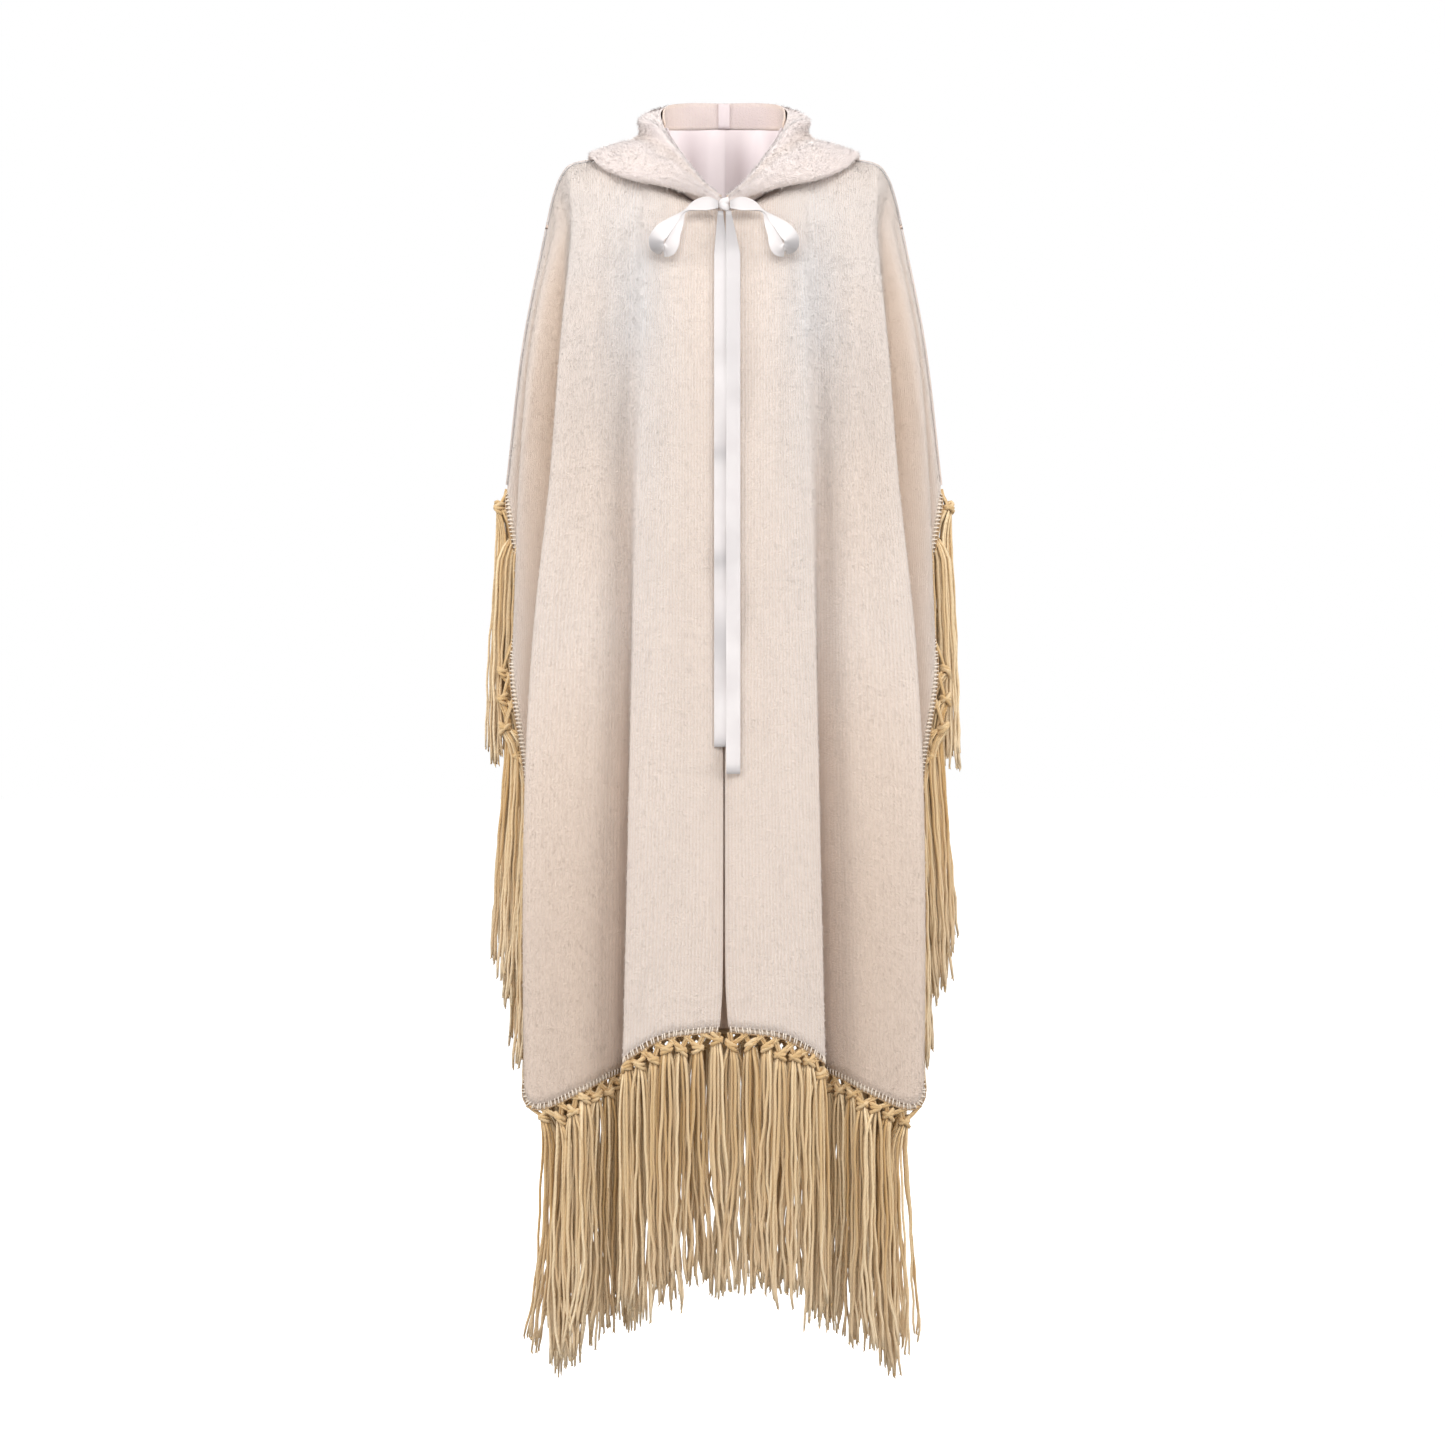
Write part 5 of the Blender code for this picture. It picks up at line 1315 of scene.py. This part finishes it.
def tubes(paths, reference, radius, sides, closed=False):
    """Round threads along paths of equal point count: corners, faces and their measure."""
    count, rings = paths.shape[:2]
    if closed:
        along = unit(np.roll(paths, -1, axis=1) - np.roll(paths, 1, axis=1))
    else:
        along = unit(np.gradient(paths, axis=1))
    side = unit(np.cross(along, np.broadcast_to(reference, paths.shape)))
    rise = np.cross(side, along)
    angle = np.arange(sides) * 2 * math.pi / sides
    radius = np.broadcast_to(radius, (count, rings))[:, :, None, None]
    circle = (side[:, :, None] * np.cos(angle)[:, None] + rise[:, :, None] * np.sin(angle)[:, None])
    corners = (paths[:, :, None] + circle * radius).reshape(-1, 3)
    index = np.arange(len(corners)).reshape(count, rings, sides)
    step = np.linalg.norm(np.diff(paths, axis=1), axis=2)
    run = np.concatenate([np.zeros((count, 1)), np.cumsum(step, axis=1)], axis=1)
    caps = [*index[:, 0, ::-1].tolist(), *index[:, -1].tolist()]
    if closed:
        caps = []
        index = np.concatenate([index, index[:, :1]], axis=1)
        run = np.concatenate([run, run[:, -1:] + step[:, -1:]], axis=1)
    low, high = run[:, :-1, None], run[:, 1:, None]
    here = np.arange(sides) / sides
    ahead = here + 1 / sides
    measure = np.stack([np.stack(np.broadcast_arrays(turn, height), -1) for turn, height in
                        ((here, low), (ahead, low), (ahead, high), (here, high))], axis=3)
    measure = np.concatenate([measure.reshape(-1, 2), np.zeros((len(caps) * sides, 2))])
    return corners, quads(index).tolist() + caps, measure


def gathered(parts):
    """Several sets of threads as one: corners, faces, measure and tone joined end to end."""
    corners, faces, measures, tones = [], [], [], []
    first = 0
    for (points, part_faces, measure), tone in parts:
        faces += [[first + corner for corner in face] for face in part_faces]
        first += len(points)
        corners.append(points)
        measures.append(measure)
        tones.append(np.repeat(tone, len(points) // len(tone)))
    return np.concatenate(corners), faces, np.concatenate(measures), np.concatenate(tones)


def yarn_finish():
    """Tan cotton yarn: two plies twisted, a little fluff, and each yarn its own shade."""
    finish, tree, cloth = new_finish("fringe_yarn", 0.85, 0.6, (1.0, 0.82, 0.58))
    parts = add_node(tree, "ShaderNodeSeparateXYZ")
    tree.links.new(cloth, parts.inputs[0])
    around, down = parts.outputs["X"], parts.outputs["Y"]
    twist = calculated(tree, "MULTIPLY_ADD", around, 2.0, calculated(tree, "MULTIPLY", down, 150.0))
    ply = calculated(tree, "SINE", calculated(tree, "MULTIPLY", twist, 2 * math.pi))
    fluff = texture(tree, "Noise", cloth, scale=900.0, detail=2.0, roughness=0.6)
    body = blend_colours(tree, point_value(tree, "tone"), (0.565, 0.352, 0.145),
                         (0.885, 0.702, 0.452))
    # Paler down the yarn from its knot, painted shade in the grooves between the plies, and paler
    # fluff
    for amount, colour in ((ranged(tree, down, 0.12, 0.30, 0.0, 0.45), (0.80, 0.68, 0.53)),
                           (ranged(tree, ply, -1.0, 0.0, 0.14, 0.0), (0.50, 0.31, 0.13)),
                           (ranged(tree, fluff, 0.5, 0.75, 0.0, 0.4), (0.85, 0.72, 0.52))):
        body = blend_colours(tree, amount, body, colour)
    return surfaced(finish, body, bumped(tree, ply, 0.2, 0.0005))


def stitch_and_shade_finish():
    """Cream sewing cotton of the drawn-thread edge, brown where its tone is low: painted shade on the
    tape.
    """
    finish, tree, cloth = new_finish("edge_cotton", 0.8, 0.2, (1.0, 0.97, 0.93))
    grain = texture(tree, "Noise", cloth, scale=700.0, detail=2.0)
    body = blend_colours(tree, ranged(tree, grain, 0.3, 0.7, 0.0, 1.0), (0.90, 0.82, 0.73),
                         (0.82, 0.70, 0.57))
    return surfaced(finish, blend_colours(tree, point_value(tree, "tone"), (0.42, 0.28, 0.16), body))


def hem_hang(knots, over):
    """Where the hem bundles hang, drawn in under the corners, and how far their ends lean out."""
    hang = knots[:, :2].copy()
    hang[:, 0] -= np.copysign(over * HEM_PULL, knots[:, 0])
    return hang, over * HEM_FLARE


def side_hang(knots, spots):
    """Where the side bundles hang and how far their ends lean out."""
    hang = spots.copy()
    hang[:, 0] -= np.copysign(np.interp(knots[:, 2], *SIDE_LOW), hang[:, 0])
    lean = np.interp(knots[:, 2], SIDE_HEIGHTS, SIDE_SLANT)
    return hang, lean + np.interp(knots[:, 2], *SIDE_MORE_SLANT)


def fringe_layout(grid, columns, spacing, seed, spots=None):
    """Each bundle's leg roots, knot, hanging spot and end, as rows of arrays."""
    places, _, ways, ends = fringe_roots(grid, columns, spacing, seed)
    edge, onward = (values[columns] for values in lowest_edge(grid))
    inward = panel_inset(grid)[-1][columns]
    run = lengths_along(edge)
    rim = edge + onward * (STRIP_GAP + STRIP_HEIGHT) + inward * KNIT / 2
    step = run[-1] / len(places)
    roots = read_along(rim, run, places)
    legs = [read_along(rim, run, np.clip(places + step * share, 0.001, run[-1] - 0.001))
            for share in (-LEG_SHARE, LEG_SHARE)]
    along = unit(legs[1] - legs[0])
    depth = unit(read_along(inward, run, places))
    knots = knots_below(roots, ways, spots is not None)
    if spots is None:
        over = np.maximum(abs(knots[:, 0]) - HEM_STRAIGHT, 0.0)
        close = CENTRE_CLOSE * np.exp(-abs(knots[:, 0]) / HEM_SPACING)
        knots[:, 0] -= np.copysign(over * KNOT_PULL + close, knots[:, 0])
        hang, lean = hem_hang(knots, over)
    else:
        tucked = np.interp(knots[:, 2], TUCK_HEIGHTS, TUCK_SHARES)
        knots[:, 0] -= np.copysign(TUCK * tucked, knots[:, 0])
        knots[:, 1] *= 1 - TUCK_BACK * tucked
        hang, lean = side_hang(knots, spots)
    # Where the edge runs steeply, a bundle is laid across the cloth instead of along the edge
    level = along * np.array([1, 1, 0])
    steep = np.linalg.norm(level, axis=1) < 0.5
    turned = -ways * np.array([1, 1, 0]) * np.sign(-along[:, 2:])
    level = unit(np.where(steep[:, None], turned, level))
    flat = np.cross(level, -UP)
    flat *= np.sign(np.sum(flat * depth, axis=1, keepdims=True))
    end = np.column_stack([hang[:, 0] + np.copysign(lean, knots[:, 0]), hang[:, 1], ends])
    if spots is not None:
        end[:, 2] += np.interp(knots[:, 2], *SIDE_SHORTER)
    neck = np.column_stack([hang, knots[:, 2] - NECK_DROP])
    return legs, along, depth, knots, level, flat, neck, end


def crossed_legs(draw, legs, along, depth, knots):
    """The two doubled legs of each bundle, from the edge to its knot."""
    share = np.linspace(0, 1, LEG_RINGS)[None, :, None]
    threads = []
    for leg, way in zip(legs, (-1, 1)):
        for offset in (-1, 1):
            start = leg + along * offset * YARN_RADIUS + depth * YARN_RADIUS * 0.3 * way
            finish = knots + along * offset * YARN_RADIUS * 0.9
            bow = depth * -LEG_BOW * way
            path = (start[:, None] * (1 - share) + finish[:, None] * share
                    + bow[:, None] * np.sin(math.pi * share))
            threads.append((tubes(path, depth[:, None] + 1e-4, YARN_RADIUS * 1.02, YARN_SIDES),
                            draw.uniform(*LEG_TONES, len(knots))))
    return threads


def tight_knots(draw, knots, level, flat):
    """Three turns of yarn drawn tight round each bundle, each leaning its own way."""
    each = (len(knots), 1, 1)
    angle = np.linspace(0, 2 * math.pi, KNOT_RINGS, endpoint=False)[None, :, None]
    threads = []
    for lean, lift, wide, deep in KNOT_TURNS:
        lean = lean * draw.choice([-1, 1], each) * draw.uniform(0.6, 1.2, each)
        path = (knots[:, None] + level[:, None] * np.cos(angle) * wide
                + flat[:, None] * np.sin(angle) * deep
                + UP * (lift + lean * wide * np.cos(angle)))
        threads.append((tubes(path, UP, YARN_RADIUS * KNOT_THICKER, KNOT_SIDES, closed=True),
                        draw.uniform(*KNOT_TONES, len(knots))))
    return threads


def parted_plies(draw, path, level, flat, shade):
    """The two plies of each yarn, parting below its cut end."""
    each = (len(path), 1, 1)
    tip = path[:, -1:] - (path[:, -1:] - path[:, -2:-1]) * 0.05
    share = np.array([0.0, 0.5, 1.0])[None, :, None]
    threads = []
    for way in (-1, 1):
        fray = draw.uniform(*PLY_FRAYS, each) * way
        fall = draw.uniform(*PLY_FALLS, each)
        ply = tip + level[:, None] * fray * share ** 1.5 - UP * fall * share
        threads.append((tubes(ply, flat[:, None] + 1e-4, YARN_RADIUS * np.array(PLY_SWELL), 3),
                        shade))
    return threads


def hanging_yarns(draw, knots, level, flat, neck, end, at_side):
    """The yarns of each bundle, from its knot over its neck down to their cut ends."""
    count = len(knots)
    each = (count, 1, 1)
    down = np.linspace(0, 1, YARN_RINGS)[None, :, None]
    drift, shorter, fan, end_width, depth_width = SIDE_HANG if at_side else HEM_HANG
    seats = YARN_SEATS + HEM_SEATS
    if at_side:
        inner = np.copysign(1.0, knots[:1, 0])[0] * np.sign(level[0, 0])
        seats = YARN_SEATS + tuple((share * inner * SIDE_SEAT_SPREAD, deep)
                                   for share, deep in SIDE_SEATS)
    # Some bundles close up as they hang and others fan out, which leaves gaps between them
    end_width = end_width * draw.uniform(*fan, (count, 1))
    if at_side:
        end_width *= np.interp(knots[:, 2:], *SIDE_WIDER)
    bundle_length = draw.uniform(*BUNDLE_LENGTHS, (count, 1))
    near = 1 - (1 - np.clip(down / NECK_SHARE, 0, 1)) ** 2
    far = np.clip((down - FALL_SHARE) / (1 - FALL_SHARE), 0, 1)
    # Each bundle wanders a little as it hangs, and its yarns wander within it
    turn = draw.uniform(0, 2 * math.pi, each)
    wander = draw.uniform(*WANDER, each) * drift * far ** 1.5
    wander = level[:, None] * np.sin(draw.uniform(*WANDER_RATES, each) * far + turn) * wander
    bundle_tone = draw.uniform(*BUNDLE_TONES, count)
    radius = YARN_RADIUS * np.interp(np.linspace(0, 1, YARN_RINGS), *YARN_SWELL)
    threads = []
    for across, through in seats:
        raised = shorter + bundle_length + draw.uniform(*YARN_LENGTHS, (count, 1))
        tight = level * across * TIGHT_WIDTH + flat * through * TIGHT_DEPTH
        loose = (level * (across * end_width + draw.normal(0, drift, (count, 1)))
                 + flat * (through * depth_width + draw.normal(0, drift * 0.6, (count, 1))))
        spread = (level * (across * end_width * NECK_WIDTH
                           + draw.normal(0, drift * 0.3, (count, 1)))
                  + flat * (through * depth_width + draw.normal(0, drift * 0.25, (count, 1))))
        start = knots - UP * YARN_START + tight
        bend = neck + spread
        finish = end + loose + UP * raised
        path = start[:, None] * (1 - near) + bend[:, None] * near
        path = path + (finish - bend)[:, None] * far + wander
        phase = draw.uniform(0, 2 * math.pi, each)
        sway = draw.uniform(*SWAY, each) * drift * 0.8 * far ** 0.7
        rate = draw.uniform(*SWAY_RATES, each)
        path = path + level[:, None] * np.sin(rate * far + phase) * sway
        path = path + flat[:, None] * np.cos(rate * 0.8 * far + phase) * sway * SWAY_OUT
        rate = draw.uniform(*KINK_RATES, each)
        path = path + level[:, None] * np.sin(rate * far + 3 * phase) * KINK * far ** 0.5
        shade = np.clip(draw.uniform(*YARN_TONES, count) + bundle_tone, 0, 1)
        threads.append((tubes(path, flat[:, None] + 1e-4, radius, YARN_SIDES), shade))
        threads += parted_plies(draw, path, level, flat, shade)
    return threads


def fringe_piece(name, grid, columns, spacing, seed, spots=None):
    """The bundles of one edge: crossed legs, a tight knot, and the yarns that hang from it."""
    draw = np.random.default_rng(int(seed * 10) + len(name))
    legs, along, depth, knots, level, flat, neck, end = fringe_layout(
        grid, columns, spacing, seed, spots)
    threads = crossed_legs(draw, legs, along, depth, knots)
    threads += tight_knots(draw, knots, level, flat)
    threads += hanging_yarns(draw, knots, level, flat, neck, end, spots is not None)
    corners, faces, measure, tone = gathered(threads)
    piece = new_piece(name + "_yarn", corners, faces, yarn, "fringe_yarn", measure, tone=tone)
    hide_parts(name)


def stitched_edge(name, grid):
    """Drawn-thread stitches between a panel's edge and the cord that carries the fringe."""
    edge, onward = lowest_edge(grid)
    inward = panel_inset(grid)[-1]
    run = lengths_along(edge)
    lower = onward * (STRIP_GAP + STRIP_HEIGHT)
    deep = inward * KNIT * STITCH_INSET
    count = int((run[-1] - 2 * STITCH_ENDS[0]) / STITCH_PITCH)
    number = np.arange(count)
    places = np.linspace(STITCH_ENDS[0], run[-1] - STITCH_ENDS[1], count)
    places += STITCH_UNEVEN * np.sin(number * UNEVEN_RATE) * (np.sin(number * UNEVEN_RUNS) > 0)
    top = read_along(edge - onward * STITCH_TOP + deep, run, places)
    low = read_along(edge + lower + deep, run, places + STITCH_SLANT)
    share = np.linspace(0, 1, 4)[None, :, None]
    face = unit(read_along(inward, run, places))
    bars = top[:, None] * (1 - share) + low[:, None] * share
    bars = bars - face[:, None] * STITCH_BOW * np.sin(math.pi * share)
    parts = [(tubes(bars, face[:, None], STITCH_RADIUS, 5), np.full(count, 1.0))]
    # The tape under the stitches, a strip between the edge and the cord, painted dark for the shade
    # seen between the stitches
    fine = np.linspace(TAPE_END, run[-1] - TAPE_END, int(run[-1] / TAPE_STEP))
    near, far = TAPE_DEPTHS
    strip = np.stack([read_along(edge + drop + inward * KNIT * depth, run, fine) for drop, depth in
                      ((0.0, near), (lower, near), (lower, far), (0.0, far))], axis=1)
    skin = sleeve(np.arange(len(fine) * 4).reshape(-1, 4))
    point = np.array([corner for corners in skin for corner in corners])
    measure = np.column_stack([fine[point // 4], (point % 4) * STRIP_HEIGHT])
    middle, swing, rate, slow_rate, start = TAPE_SHADE_PATCHES
    patches = np.clip(middle + swing * np.sin(fine * rate) * np.sin(fine * slow_rate + start),
                      0.0, TAPE_SHADE_PALEST)
    on_side = np.interp(read_along(edge, run, fine)[:, 2], TAPE_SIDE_HEIGHTS, (0.0, 1.0))
    on_side *= np.interp(abs(strip[:, 0, 0]), TAPE_SIDE_REACH, (0.0, 1.0))
    parts.append(((strip.reshape(-1, 3), skin, measure),
                  patches * (1 - on_side) + TAPE_SIDE_SHADE * on_side))
    cord = read_along(edge + lower + deep, run, fine)[None]
    parts.append((tubes(cord, unit(read_along(inward, run, fine))[None], CORD_RADIUS, 6),
                  np.array([0.0])))
    corners, faces, measure, tone = gathered(parts)
    new_piece(name, corners, faces, stitch_cotton_and_shade, "plush_knit", measure, tone=tone)


yarn = yarn_finish()
stitch_cotton_and_shade = stitch_and_shade_finish()
plain_front = front_panel(1, 1)
plain_back = back_panel(1, 1)
front_corner = strips_before(FRONT_FOLDS, "edge B")
back_corner = strips_before(BACK_FOLDS, "arm seam") - strips_before(BACK_FOLDS, "edge L")
front_hem = np.s_[:front_corner + 1]
front_side = np.s_[front_corner:]
back_hem = np.s_[back_corner:-back_corner]
back_side = np.s_[:back_corner + 1]
_, front_roots, front_ways, front_ends = fringe_roots(plain_front, front_side, SIDE_SPACING, 0.5)
_, back_roots, back_ways, back_ends = fringe_roots(plain_back, back_side, SIDE_SPACING, 1.7)
side_knots = knots_below(np.vstack([front_roots, back_roots]),
                         np.vstack([front_ways, back_ways]), True)
side_of = np.concatenate([-np.ones(len(front_roots)), np.ones(len(back_roots))])
spots = hang_apart(side_knots, np.concatenate([front_ends, back_ends]), side_of)
front_spots, back_spots = spots[:len(front_roots)], spots[len(front_roots):]
flip = np.array([-1.0, 1.0])

fringe_piece("fringe_hem_front_right", plain_front, front_hem, HEM_SPACING, 0.0)
fringe_piece("fringe_hem_front_left", mirrored(plain_front), front_hem, HEM_SPACING, 0.9)
fringe_piece("fringe_hem_back", plain_back, back_hem, HEM_SPACING, 2.1)
fringe_piece("fringe_side_front_right", plain_front, front_side, SIDE_SPACING, 0.5, front_spots)
fringe_piece("fringe_side_front_left", mirrored(plain_front), front_side, SIDE_SPACING, 0.5,
             front_spots * flip)
fringe_piece("fringe_side_back_right", plain_back, back_side, SIDE_SPACING, 1.7, back_spots)
fringe_piece("fringe_side_back_left", mirrored(plain_back), back_side, SIDE_SPACING, 1.7,
             back_spots * flip)
stitched_edge("edge_stitches_front_right", front)
stitched_edge("edge_stitches_front_left", mirrored(front))
stitched_edge("edge_stitches_back", back)
